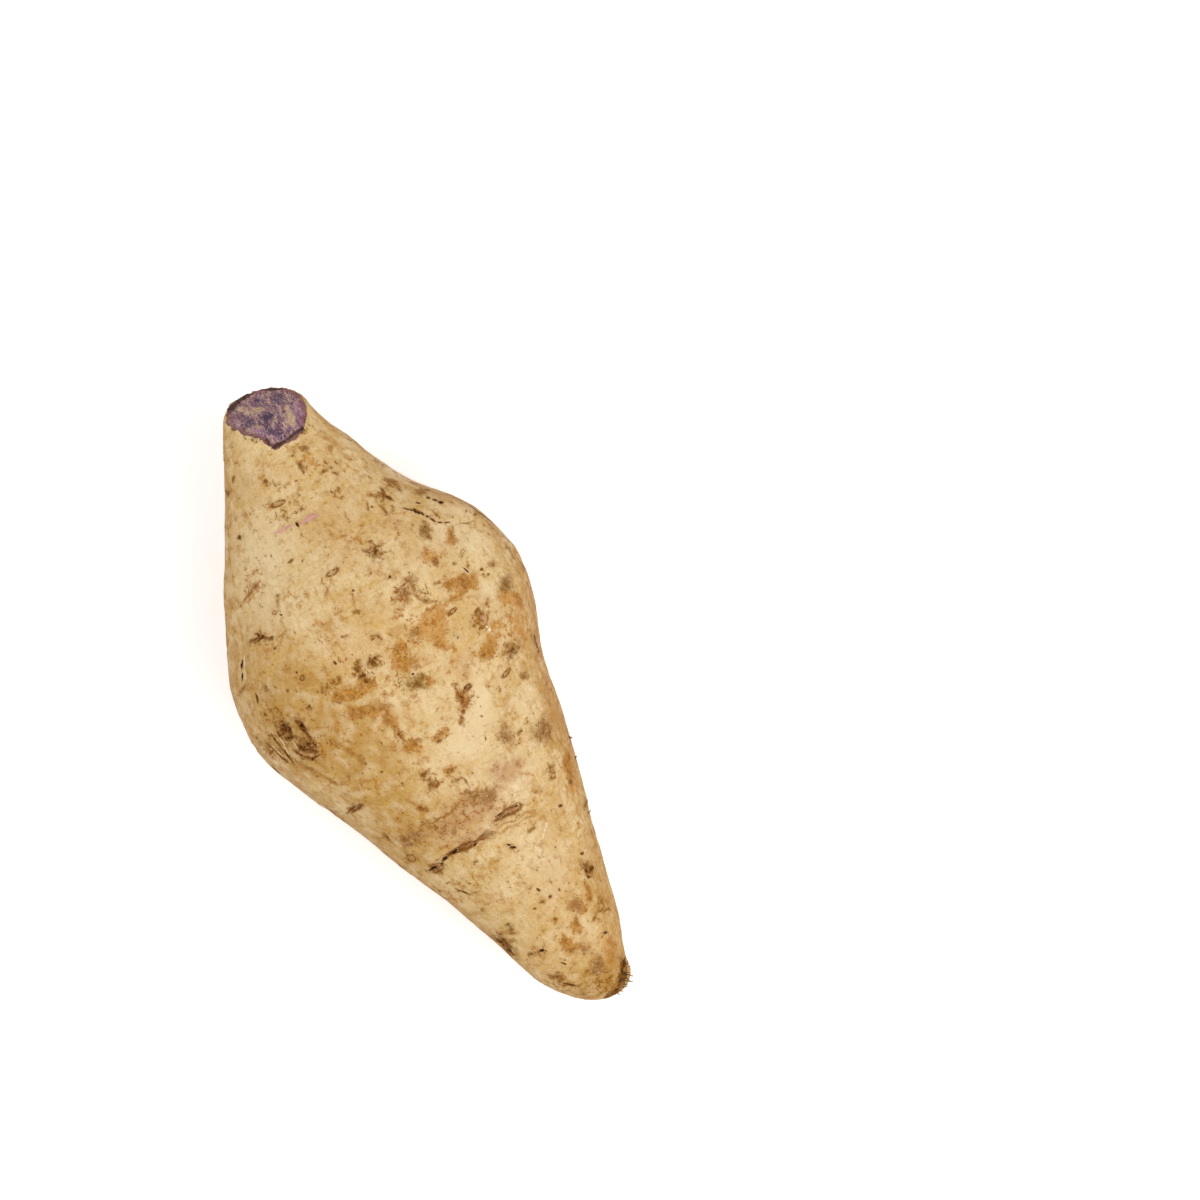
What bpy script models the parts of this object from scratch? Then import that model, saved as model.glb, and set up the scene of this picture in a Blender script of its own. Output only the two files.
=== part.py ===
"""A purple-fleshed sweet potato: one swollen root, its vine end cut through, its tail tapering.

Metres, +Z up. +X runs from the cut vine end to the root tip and +Y is across.
The root lies on a small flat of its belly, under its centre of mass, at z = 0, and
the origin is under the middle of its box.
"""

import math
from dataclasses import dataclass

import bmesh
import bpy
import numpy as np
from mathutils import Vector

MM = 0.001


@dataclass(frozen=True)
class Section:
    """One cross-section of the root, in millimetres."""

    along: float
    side: float
    middle: float
    half_width: float
    half_height: float


@dataclass(frozen=True)
class Form:
    """A broad swelling of the skin, or a hollow where the height is below zero.

    It runs along a straight stretch of skin, from one place to another. A place is a
    distance along the root in millimetres and a turn about it in degrees: 0 at +Y, 90 on top.
    """

    start: tuple[float, float]
    end: tuple[float, float]
    reach: float
    height: float


# Measured from the vine end. The first two lie past the cut, which goes right through the neck.
SECTIONS = (
    Section(-9.0, 6.6, 41.8, 6.4, 6.2),
    Section(-2.0, 5.4, 40.2, 7.5, 7.1),
    Section(5.0, 3.3, 38.4, 9.4, 8.6),
    Section(12.0, 1.7, 36.4, 12.0, 10.9),
    Section(20.0, 1.0, 34.8, 15.9, 14.6),
    Section(28.0, 0.0, 33.4, 19.9, 18.2),
    Section(36.0, -0.4, 32.2, 24.8, 22.4),
    Section(45.0, 0.8, 31.5, 30.5, 27.0),
    Section(54.0, 0.3, 31.0, 34.3, 30.0),
    Section(63.0, -0.3, 30.3, 35.6, 31.0),
    Section(72.0, -1.3, 29.2, 34.2, 30.2),
    Section(82.0, -1.7, 27.9, 30.2, 27.6),
    Section(94.0, -0.5, 27.0, 26.3, 24.4),
    Section(107.0, 0.3, 26.2, 22.3, 20.8),
    Section(119.0, 0.9, 24.6, 18.2, 17.2),
    Section(131.0, 1.1, 22.8, 14.5, 13.9),
    Section(141.0, 1.0, 21.0, 11.7, 11.3),
    Section(147.5, 1.3, 19.8, 8.7, 8.7),
    Section(152.0, 2.8, 19.0, 6.3, 5.9),
    Section(154.4, 3.6, 18.6, 3.0, 2.9),
    Section(155.0, 3.7, 18.5, 0.0, 0.0),
)

# The cut across the neck faces up and away from the root.
CUT_CENTRE = Vector((4.7, 4.3, 38.4)) * MM
CUT_HEADING = math.radians(160)
CUT_RISE = math.radians(33)
# The knife tore a chip off the cut's upper edge.
CHIP_CENTRE = Vector((12.6, 2.0, 47.4)) * MM
CHIP_HEADING = math.radians(153)
CHIP_RISE = math.radians(54)
# The thin end of the root snapped off beside the tip.
SNAP_CENTRE = Vector((152.0, 8.9, 19.4)) * MM
SNAP_HEADING = math.radians(60)
SNAP_RISE = math.radians(14)

SHOULDER_LOBE = Form((41.0, 32.0), (49.0, 18.0), 4.5, 0.9)
SIDE_NUB = Form((59.6, 8.0), (59.6, 8.0), 2.6, 1.0)
GIRTH_CREASE = Form((60.0, 12.0), (70.0, 148.0), 3.6, -0.7)
TAIL_CREASE = Form((96.5, 28.0), (108.0, 118.0), 4.0, -0.6)
TAIL_CREASE_END = Form((108.0, 118.0), (105.0, 152.0), 4.0, -0.6)
SCAB_HOLLOW = Form((68.5, 143.0), (68.5, 143.0), 5.0, -0.8)
TOP_SWELLINGS = (
    Form((84.0, 62.0), (86.0, 98.0), 9.0, 0.8),
    Form((34.0, 60.0), (44.0, 110.0), 8.0, 0.6),
    Form((122.0, 40.0), (136.0, 70.0), 6.0, 0.5),
)
UNDERSIDE_SWELLINGS = (
    Form((50.0, 215.0), (74.0, 232.0), 7.0, 0.7),
    Form((118.0, 212.0), (128.0, 238.0), 6.0, 0.5),
    Form((80.0, 300.0), (92.0, 338.0), 8.0, 0.7),
    Form((134.0, 290.0), (138.0, 330.0), 4.0, 0.4),
)
UNDERSIDE_CREASES = (
    Form((30.0, 196.0), (36.0, 226.0), 5.0, -0.7),
    Form((92.0, 200.0), (96.0, 262.0), 4.5, -0.7),
    Form((38.0, 268.0), (46.0, 322.0), 5.5, -0.7),
    Form((112.0, 278.0), (116.0, 344.0), 4.5, -0.6),
)
FORMS = (
    SHOULDER_LOBE,
    SIDE_NUB,
    GIRTH_CREASE,
    TAIL_CREASE,
    TAIL_CREASE_END,
    SCAB_HOLLOW,
    *TOP_SWELLINGS,
    *UNDERSIDE_SWELLINGS,
    *UNDERSIDE_CREASES,
)

# A power of 2 would make each cross-section an ellipse, and a higher one squarer.
SECTION_POWER = 2.2
RINGS_PER_STRETCH = 5
RING_POINTS = 44
SHARP_EDGE = math.radians(40)
ON_PLANE = 1e-7

SKIN_COLOUR = (0.68, 0.47, 0.23, 1.0)
SKIN_ROUGHNESS = 0.62
FLESH_COLOUR = (0.27, 0.17, 0.19, 1.0)
FLESH_ROUGHNESS = 0.75


def clear_scene():
    """Removes whatever the scene holds."""
    for obj in list(bpy.data.objects):
        bpy.data.objects.remove(obj, do_unlink=True)


def make_material(name, colour, roughness):
    """A plain, non-metallic surface."""
    material = bpy.data.materials.new(name)
    material.use_nodes = True
    shader = material.node_tree.nodes["Principled BSDF"]
    shader.inputs["Base Color"].default_value = colour
    shader.inputs["Roughness"].default_value = roughness
    shader.inputs["Metallic"].default_value = 0.0
    return material


def smooth_between(rows, stretch, part):
    """The values at a part of the way along one stretch of a smooth curve through the rows."""
    last = len(rows) - 1
    before = rows[max(stretch - 1, 0)]
    here = rows[stretch]
    there = rows[stretch + 1]
    after = rows[min(stretch + 2, last)]
    linear = (there - before) / 2
    square = before - 2.5 * here + 2 * there - after / 2
    cube = (after - before) / 2 + 1.5 * (here - there)
    return here + part * (linear + part * (square + part * cube))


def lofted_sections():
    """The root's cross-sections, evenly filled in between the given ones, in millimetres."""
    rows = np.array([(s.along, s.side, s.middle, s.half_width, s.half_height) for s in SECTIONS])
    filled = []
    for stretch in range(len(rows) - 1):
        for step in range(RINGS_PER_STRETCH):
            filled.append(smooth_between(rows, stretch, step / RINGS_PER_STRETCH))
    return filled


def rise_of(form, along, turn, girth):
    """How far a form lifts the skin at one place, where the girth's radius is given."""
    halfway = math.radians(form.start[1] + form.end[1]) / 2
    near_turn = halfway + math.remainder(turn - halfway, 2 * math.pi)
    a = np.array((form.start[0], math.radians(form.start[1]) * girth))
    b = np.array((form.end[0], math.radians(form.end[1]) * girth))
    here = np.array((along, near_turn * girth))
    run = b - a
    squared_length = np.dot(run, run)
    reached = np.clip(np.dot(here - a, run) / squared_length, 0, 1) if squared_length else 0
    away = np.linalg.norm(here - a - reached * run)
    return form.height * math.exp(-((away / form.reach) ** 2))


def skin_point(section, turn):
    """A point of the skin on one cross-section, its forms included, in metres."""
    along, side, middle, half_width, half_height = section
    across = math.cos(turn)
    up = math.sin(turn)
    radius = (abs(across) ** SECTION_POWER + abs(up) ** SECTION_POWER) ** (-1 / SECTION_POWER)
    girth = (half_width + half_height) / 2
    lift = sum(rise_of(form, along, turn, girth) for form in FORMS)
    swell = 1 + lift / girth
    y = side + half_width * radius * across * swell
    z = middle + half_height * radius * up * swell
    return Vector((along, y, z)) * MM


def add_body(mesh):
    """The closed skin, from beyond the cut to the root tip."""
    rings = []
    for section in lofted_sections():
        turns = (2 * math.pi * i / RING_POINTS for i in range(RING_POINTS))
        rings.append([mesh.verts.new(skin_point(section, turn)) for turn in turns])
    for ring, following in zip(rings, rings[1:]):
        for i in range(RING_POINTS):
            j = (i + 1) % RING_POINTS
            mesh.faces.new((ring[i], following[i], following[j], ring[j]))
    mesh.faces.new(reversed(rings[0]))
    end = SECTIONS[-1]
    tip = mesh.verts.new(Vector((end.along, end.side, end.middle)) * MM)
    for i in range(RING_POINTS):
        mesh.faces.new((rings[-1][i], tip, rings[-1][(i + 1) % RING_POINTS]))
    bmesh.ops.recalc_face_normals(mesh, faces=mesh.faces)


def facing(heading, rise):
    """The direction with this heading about +Z, from +X, and this rise above the level."""
    level = math.cos(rise)
    return Vector((level * math.cos(heading), level * math.sin(heading), math.sin(rise)))


def slice_off(mesh, centre, normal, material_index=0):
    """Cuts away what lies past a plane and closes the body there with a flat face."""
    geometry = mesh.verts[:] + mesh.edges[:] + mesh.faces[:]
    result = bmesh.ops.bisect_plane(
        mesh, geom=geometry, plane_co=centre, plane_no=normal, clear_outer=True, dist=ON_PLANE
    )
    edges = [item for item in result["geom_cut"] if isinstance(item, bmesh.types.BMEdge)]
    closed = bmesh.ops.contextual_create(mesh, geom=edges)
    for face in closed["faces"]:
        face.material_index = material_index


def centre_over_origin(mesh):
    """Moves the body level, until the middle of its box stands over the origin."""
    for axis in (0, 1):
        places = [vertex.co[axis] for vertex in mesh.verts]
        middle = (min(places) + max(places)) / 2
        for vertex in mesh.verts:
            vertex.co[axis] -= middle


def build_sweet_potato():
    """The whole root, lying on the flat of its belly."""
    mesh = bmesh.new()
    add_body(mesh)
    slice_off(mesh, CUT_CENTRE, facing(CUT_HEADING, CUT_RISE), material_index=1)
    slice_off(mesh, CHIP_CENTRE, facing(CHIP_HEADING, CHIP_RISE), material_index=1)
    slice_off(mesh, SNAP_CENTRE, facing(SNAP_HEADING, SNAP_RISE))
    slice_off(mesh, Vector((0, 0, 0)), Vector((0, 0, -1)))
    centre_over_origin(mesh)
    data = bpy.data.meshes.new("sweet_potato")
    mesh.to_mesh(data)
    mesh.free()
    data.materials.append(make_material("skin", SKIN_COLOUR, SKIN_ROUGHNESS))
    data.materials.append(make_material("flesh", FLESH_COLOUR, FLESH_ROUGHNESS))
    data.shade_smooth()
    data.set_sharp_from_angle(angle=SHARP_EDGE)
    root = bpy.data.objects.new("sweet_potato", data)
    bpy.context.scene.collection.objects.link(root)
    return root


clear_scene()
build_sweet_potato()
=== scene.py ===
"""A purple-fleshed sweet potato: scarred cream skin, a cut purple crown and broken rootlets.

Lengths are metres, except where a name or a docstring says millimetres. Places that were read from
the photograph are pixels of its frame of 1200 by 1200, counted from its upper left corner.
"""

import logging
import math
import random
from dataclasses import dataclass
from enum import Enum

import bpy
import numpy as np
from mathutils import Matrix, Vector, noise
from mathutils.bvhtree import BVHTree
from mathutils.kdtree import KDTree

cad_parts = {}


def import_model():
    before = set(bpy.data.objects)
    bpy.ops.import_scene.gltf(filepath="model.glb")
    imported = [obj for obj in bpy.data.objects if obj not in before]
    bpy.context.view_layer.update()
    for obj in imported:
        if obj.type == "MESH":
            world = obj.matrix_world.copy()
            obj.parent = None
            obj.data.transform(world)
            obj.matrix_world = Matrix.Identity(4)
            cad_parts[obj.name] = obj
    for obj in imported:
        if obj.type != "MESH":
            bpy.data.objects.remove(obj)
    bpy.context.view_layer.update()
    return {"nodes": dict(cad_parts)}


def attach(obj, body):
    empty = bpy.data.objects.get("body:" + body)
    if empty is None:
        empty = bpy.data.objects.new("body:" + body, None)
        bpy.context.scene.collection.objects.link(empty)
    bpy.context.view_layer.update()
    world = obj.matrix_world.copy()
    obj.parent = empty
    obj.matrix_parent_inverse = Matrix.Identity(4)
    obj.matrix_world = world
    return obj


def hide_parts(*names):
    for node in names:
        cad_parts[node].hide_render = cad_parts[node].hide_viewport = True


MM = 0.001
SOLID_NODE = "sweet_potato"
BODY = "root"
NOISE_SEED = 7

Pixel =tuple[float, float]
Row = tuple[float, ...]
Colour = tuple[float, float, float, float]


def colour(red: float, green: float, blue: float) -> Colour:
    """Turns an everyday colour of 0 to 255 a channel into a linear one.

    Args:
        red: The red channel.
        green: The green channel.
        blue: The blue channel.

    Returns:
        The linear colour, with a full alpha.
    """
    channels = [channel / 255 for channel in (red, green, blue)]
    linear = [c / 12.92 if c <= 0.04045 else ((c + 0.055) / 1.055) ** 2.4 for c in channels]
    return (linear[0], linear[1], linear[2], 1.0)


def fade(values: np.ndarray, start: float, end: float) -> np.ndarray:
    """Rises smoothly from 0 at start to 1 at end, whichever of the two is the larger."""
    share = np.clip((values - start) / (end - start), 0, 1)
    return share * share * (3 - 2 * share)


def rough_field(points: np.ndarray, size: float, octaves: int, shift: float = 0.0) -> np.ndarray:
    """A natural unevenness, from about -1 to 1; any shift tells one such field from the next."""
    moved = points / size + shift
    return np.array([noise.fractal(Vector(place), 1.0, 2.0, octaves) for place in moved])


def drift_of(points: np.ndarray) -> np.ndarray:
    """How far a blemish's outline strays at each place, so that it looks grown and not drawn.

    Args:
        points: The places, in metres.

    Returns:
        The way it strays at each place, in metres.
    """
    broad_size, broad_way = 3.0 * MM, 1.3 * MM
    small_size, small_way = 1.2 * MM, 0.5 * MM
    strayed = []
    for place in map(Vector, points):
        broad = noise.noise_vector(place / broad_size) * broad_way
        strayed.append(broad + noise.noise_vector(place / small_size) * small_way)
    return np.array(strayed)


def select_only(piece: bpy.types.Object) -> None:
    """Selects one piece and makes it the active one."""
    bpy.ops.object.select_all(action="DESELECT")
    piece.select_set(True)
    bpy.context.view_layer.objects.active = piece


def new_object(name: str, data: bpy.types.ID) -> bpy.types.Object:
    """Adds an object to the scene."""
    added = bpy.data.objects.new(name, data)
    bpy.context.scene.collection.objects.link(added)
    return added


def tree_of(piece: bpy.types.Object) -> BVHTree:
    """A piece's faces, for rays to meet."""
    return BVHTree.FromObject(piece, bpy.context.evaluated_depsgraph_get())


def finish_modifier(piece: bpy.types.Object, kind: str, **settings: float | int | str | bool) -> None:
    """Gives a piece a modifier and applies it at once.

    Args:
        piece: The piece, which is the active one.
        kind: The kind of modifier.
        settings: The modifier's settings by name.
    """
    modifier = piece.modifiers.new(kind.lower(), kind)
    for name, value in settings.items():
        setattr(modifier, name, value)
    bpy.ops.object.modifier_apply(modifier=modifier.name)


@dataclass(frozen=True)
class PhotoCamera:
    """The camera straight above the root, turned and framed as the photograph is.

    Attributes:
        frame_pixels: Side of the photograph's frame.
        pixel_size: What one pixel covers at the height of the root's widest outline.
        outline_height: That height over the surface that the root lies on.
        middle: The place under the middle of the frame.
        turn: The direction of the frame's right-hand side about +Z, from +X, in degrees.
        lens_mm: The lens.
        sensor_mm: Width of the sensor.
    """

    frame_pixels: float = 1200.0
    pixel_size: float = 0.21877 * MM
    outline_height: float = 30.0 * MM
    middle: tuple[float, float] = (1.21 * MM, 45.44 * MM)
    turn: float = 58.96
    lens_mm: float = 200.0
    sensor_mm: float = 36.0

    @property
    def position(self) -> Vector:
        """Where the camera is."""
        distance = self.frame_pixels * self.pixel_size * self.lens_mm / self.sensor_mm
        return Vector((*self.middle, self.outline_height + distance))

    def heading(self, tilt: float, rise: float = 0.0) -> Vector:
        """The direction of a line that is seen in the photograph.

        Args:
            tilt: Its tilt there, in degrees anticlockwise from right.
            rise: How steeply it rises above the level, in degrees.

        Returns:
            The direction.
        """
        angle, up = math.radians(self.turn + tilt), math.radians(rise)
        return Vector((math.cos(angle) * math.cos(up), math.sin(angle) * math.cos(up), math.sin(up)))

    def spot(self, pixel: Pixel) -> Vector:
        """The place at the outline's height that a pixel shows."""
        right, down = (offset - self.frame_pixels / 2 for offset in pixel)
        level = right * self.heading(0) - down * self.heading(90)
        return Vector((*self.middle, self.outline_height)) + level * self.pixel_size

    def meet(self, tree: BVHTree, pixel: Pixel) -> tuple[Vector, Vector]:
        """Finds the place of the skin that a pixel shows, or the nearest one where it shows none.

        Args:
            tree: The skin.
            pixel: The pixel.

        Returns:
            The place and the skin's normal there.
        """
        target = self.spot(pixel)
        place, normal, *_ = tree.ray_cast(self.position, (target - self.position).normalized())
        if place is None:
            place, normal, *_ = tree.find_nearest(target)
        return place, normal

    def add(self) -> bpy.types.Object:
        """Adds the camera and makes it the scene's."""
        data = bpy.data.cameras.new("photo_camera")
        data.lens = self.lens_mm
        data.sensor_width = self.sensor_mm
        data.clip_end = 20.0
        camera = new_object("photo_camera", data)
        camera.location = self.position
        camera.rotation_euler.z = math.radians(self.turn)
        bpy.context.scene.camera = camera
        return camera


@dataclass(frozen=True)
class FlatFace:
    """A flat face of the root, as its solid has it.

    Attributes:
        centre: A point of the face.
        heading: The direction it faces about +Z, from +X, in degrees.
        rise: The direction it faces above the level, in degrees.
        reach: How far from its centre the skin has a finer mesh.
    """

    centre: tuple[float, float, float]
    heading: float
    rise: float
    reach: float

    @property
    def normal(self) -> np.ndarray:
        """The direction that the face looks in."""
        heading, rise = math.radians(self.heading), math.radians(self.rise)
        level = math.cos(rise)
        return np.array((level * math.cos(heading), level * math.sin(heading), math.sin(rise)))

    def height(self, points: np.ndarray) -> np.ndarray:
        """How far each point lies before the face, in metres."""
        return (points - np.array(self.centre)) @ self.normal


KNIFE_CUT = FlatFace((-72.71 * MM, 4.48 * MM, 38.4 * MM), 160.0, 33.0, 14.0 * MM)
TORN_CHIP = FlatFace((-64.81 * MM, 2.18 * MM, 47.4 * MM), 153.0, 54.0, 11.0 * MM)
SNAPPED_TAIL = FlatFace((74.59 * MM, 9.08 * MM, 19.4 * MM), 60.0, 14.0, 9.0 * MM)
FLAT_FACES = (KNIFE_CUT, TORN_CHIP, SNAPPED_TAIL)


@dataclass(frozen=True)
class Look:
    """How one kind of blemish looks and feels.

    Attributes:
        tint: Colour of its inside.
        fill: How strong that colour is.
        ring: How dark the line round it is.
        core: How dark its middle is.
        hatch: How strongly pale fibres run along it.
        crumbs: How strongly dark crumbs cover it.
        ragged: How ragged its outline is.
        rim: How high its edge stands, in millimetres.
        depth: How deep its inside lies, in millimetres.
        rough: How rough its inside is, in millimetres.
    """

    tint: Colour
    fill: float = 0.0
    ring: float = 0.0
    core: float = 0.0
    hatch: float = 0.0
    crumbs: float = 0.0
    ragged: float = 1.0
    rim: float = 0.0
    depth: float = 0.0
    rough: float = 0.0


class Blemish(Enum):
    """The kinds of blemish on the skin."""

    RING = Look(
        colour(196, 146, 80), fill=0.45, ring=0.95, crumbs=0.25, ragged=0.35, rim=0.14, depth=0.1,
        rough=0.03,
    )
    SLIT = Look(
        colour(170, 112, 66), fill=0.75, ring=1.0, core=0.1, hatch=1.0, crumbs=0.32, ragged=0.7, rim=0.16,
        depth=0.34, rough=0.14,
    )
    CLEFT = Look(
        colour(88, 48, 14), fill=0.95, core=0.85, hatch=0.35, crumbs=0.95, ragged=0.9, rim=0.06, depth=0.32,
    )
    LINE = Look(colour(84, 46, 12), fill=0.9, crumbs=1.0, ragged=0.8, rim=0.05, depth=0.16)
    TRACE = Look(colour(178, 130, 66), fill=0.3, crumbs=0.35, ragged=1.5, depth=0.02)
    STROKE = Look(colour(122, 76, 28), fill=0.7, crumbs=1.0, ragged=1.2, rim=0.04, depth=0.1, rough=0.12)
    FAINT = Look(colour(164, 114, 56), fill=0.5, crumbs=0.55, ragged=1.2, rim=0.02, depth=0.05, rough=0.08)
    SMEAR = Look(colour(190, 132, 62), fill=0.5, crumbs=0.5, ragged=1.3, depth=0.02, rough=0.05)
    CRACK = Look(colour(238, 216, 172), fill=0.7, ragged=0.7, depth=-0.06)
    PIT = Look(colour(116, 70, 24), fill=0.8, core=0.45, crumbs=0.8, ragged=0.8, rim=0.03, depth=0.1)
    DOT = Look(colour(140, 90, 34), fill=0.7, core=0.08, crumbs=0.5, ragged=0.8, rim=0.03, depth=0.08)
    SPOT = Look(colour(162, 110, 46), fill=0.42, crumbs=0.66, ragged=1.4, rim=0.02, depth=0.05, rough=0.08)
    SCAB = Look(
        colour(140, 94, 38), fill=0.45, hatch=0.5, crumbs=0.85, ragged=1.5, rim=0.03, depth=0.06,
        rough=0.24,
    )
    SCUFF = Look(
        colour(166, 120, 76), fill=0.5, hatch=0.55, crumbs=0.52, ragged=1.6, depth=0.02, rough=0.12,
    )
    RUST = Look(colour(158, 90, 34), fill=0.8, crumbs=0.7, ragged=0.8, rim=0.03, depth=0.04, rough=0.12)
    MOULD = Look(
        colour(154, 112, 50), fill=0.5, hatch=0.35, crumbs=0.66, ragged=1.5, depth=0.03, rough=0.12,
    )
    CRUST = Look(
        colour(200, 138, 54), fill=0.65, hatch=0.4, crumbs=0.5, ragged=1.3, rim=0.03, depth=0.05,
        rough=0.08,
    )
    SCRATCH = Look(colour(204, 138, 146), fill=0.7, hatch=0.5, ragged=0.9, depth=0.05)
    FLAKE = Look(colour(240, 222, 190), fill=0.85, ragged=1.5, depth=-0.12, rough=0.1)


@dataclass(frozen=True)
class Mark:
    """A blemish where the photograph shows it.

    Attributes:
        pixel: Its middle, in pixels of the photograph: right, then down.
        length: Its length, in millimetres.
        width: Its width, in millimetres.
        tilt: Its long axis in the photograph, in degrees anticlockwise from right.
    """

    pixel: Pixel
    length: float
    width: float
    tilt: float = 0.0


def along_line(width: float, bends: list[Pixel], pixel_size_mm: float) -> list[Mark]:
    """The short marks that make up a bent line.

    Args:
        width: The line's width, in millimetres.
        bends: Its bends in the photograph.
        pixel_size_mm: What one pixel covers, in millimetres.

    Returns:
        One mark for each straight stretch.
    """
    found = []
    overlap = 1.3
    for (x0, y0), (x1, y1) in zip(bends, bends[1:]):
        length = math.hypot(x1 - x0, y1 - y0) * pixel_size_mm * overlap
        tilt = math.degrees(math.atan2(y0 - y1, x1 - x0))
        found.append(Mark(((x0 + x1) / 2, (y0 + y1) / 2), length, width, tilt))
    return found


class Tone(Enum):
    """The skin's soft tones, by the name of each one's map: stains, with painted shade and painted highlight
    in some.
    """

    GOLD = "gold_stain_and_shade"
    OCHRE = "stain_ochre"
    BROWN = "brown_stain_and_shade"
    OLIVE = "stain_olive"
    PALE = "pale_stain_and_highlight"
    MAUVE = "stain_mauve"
    STREAK = "streak_stain_and_shade"


@dataclass(frozen=True)
class SoftPatch(Mark):
    """A soft patch of tone where the photograph shows it: mostly stains, some painted shade and painted
    highlight.

    Attributes:
        strength: How strong it is at its middle, from 0 to 1.
    """

    strength: float = 0.8


# Painted shade on the flanks: how strong a darker tone is, and between which rises of the skin's normal it
# comes in.
FLANK_SHADE = {Tone.GOLD: (0.95, 0.72, 0.2), Tone.BROWN: (0.5, 0.42, 0.05)}


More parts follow.
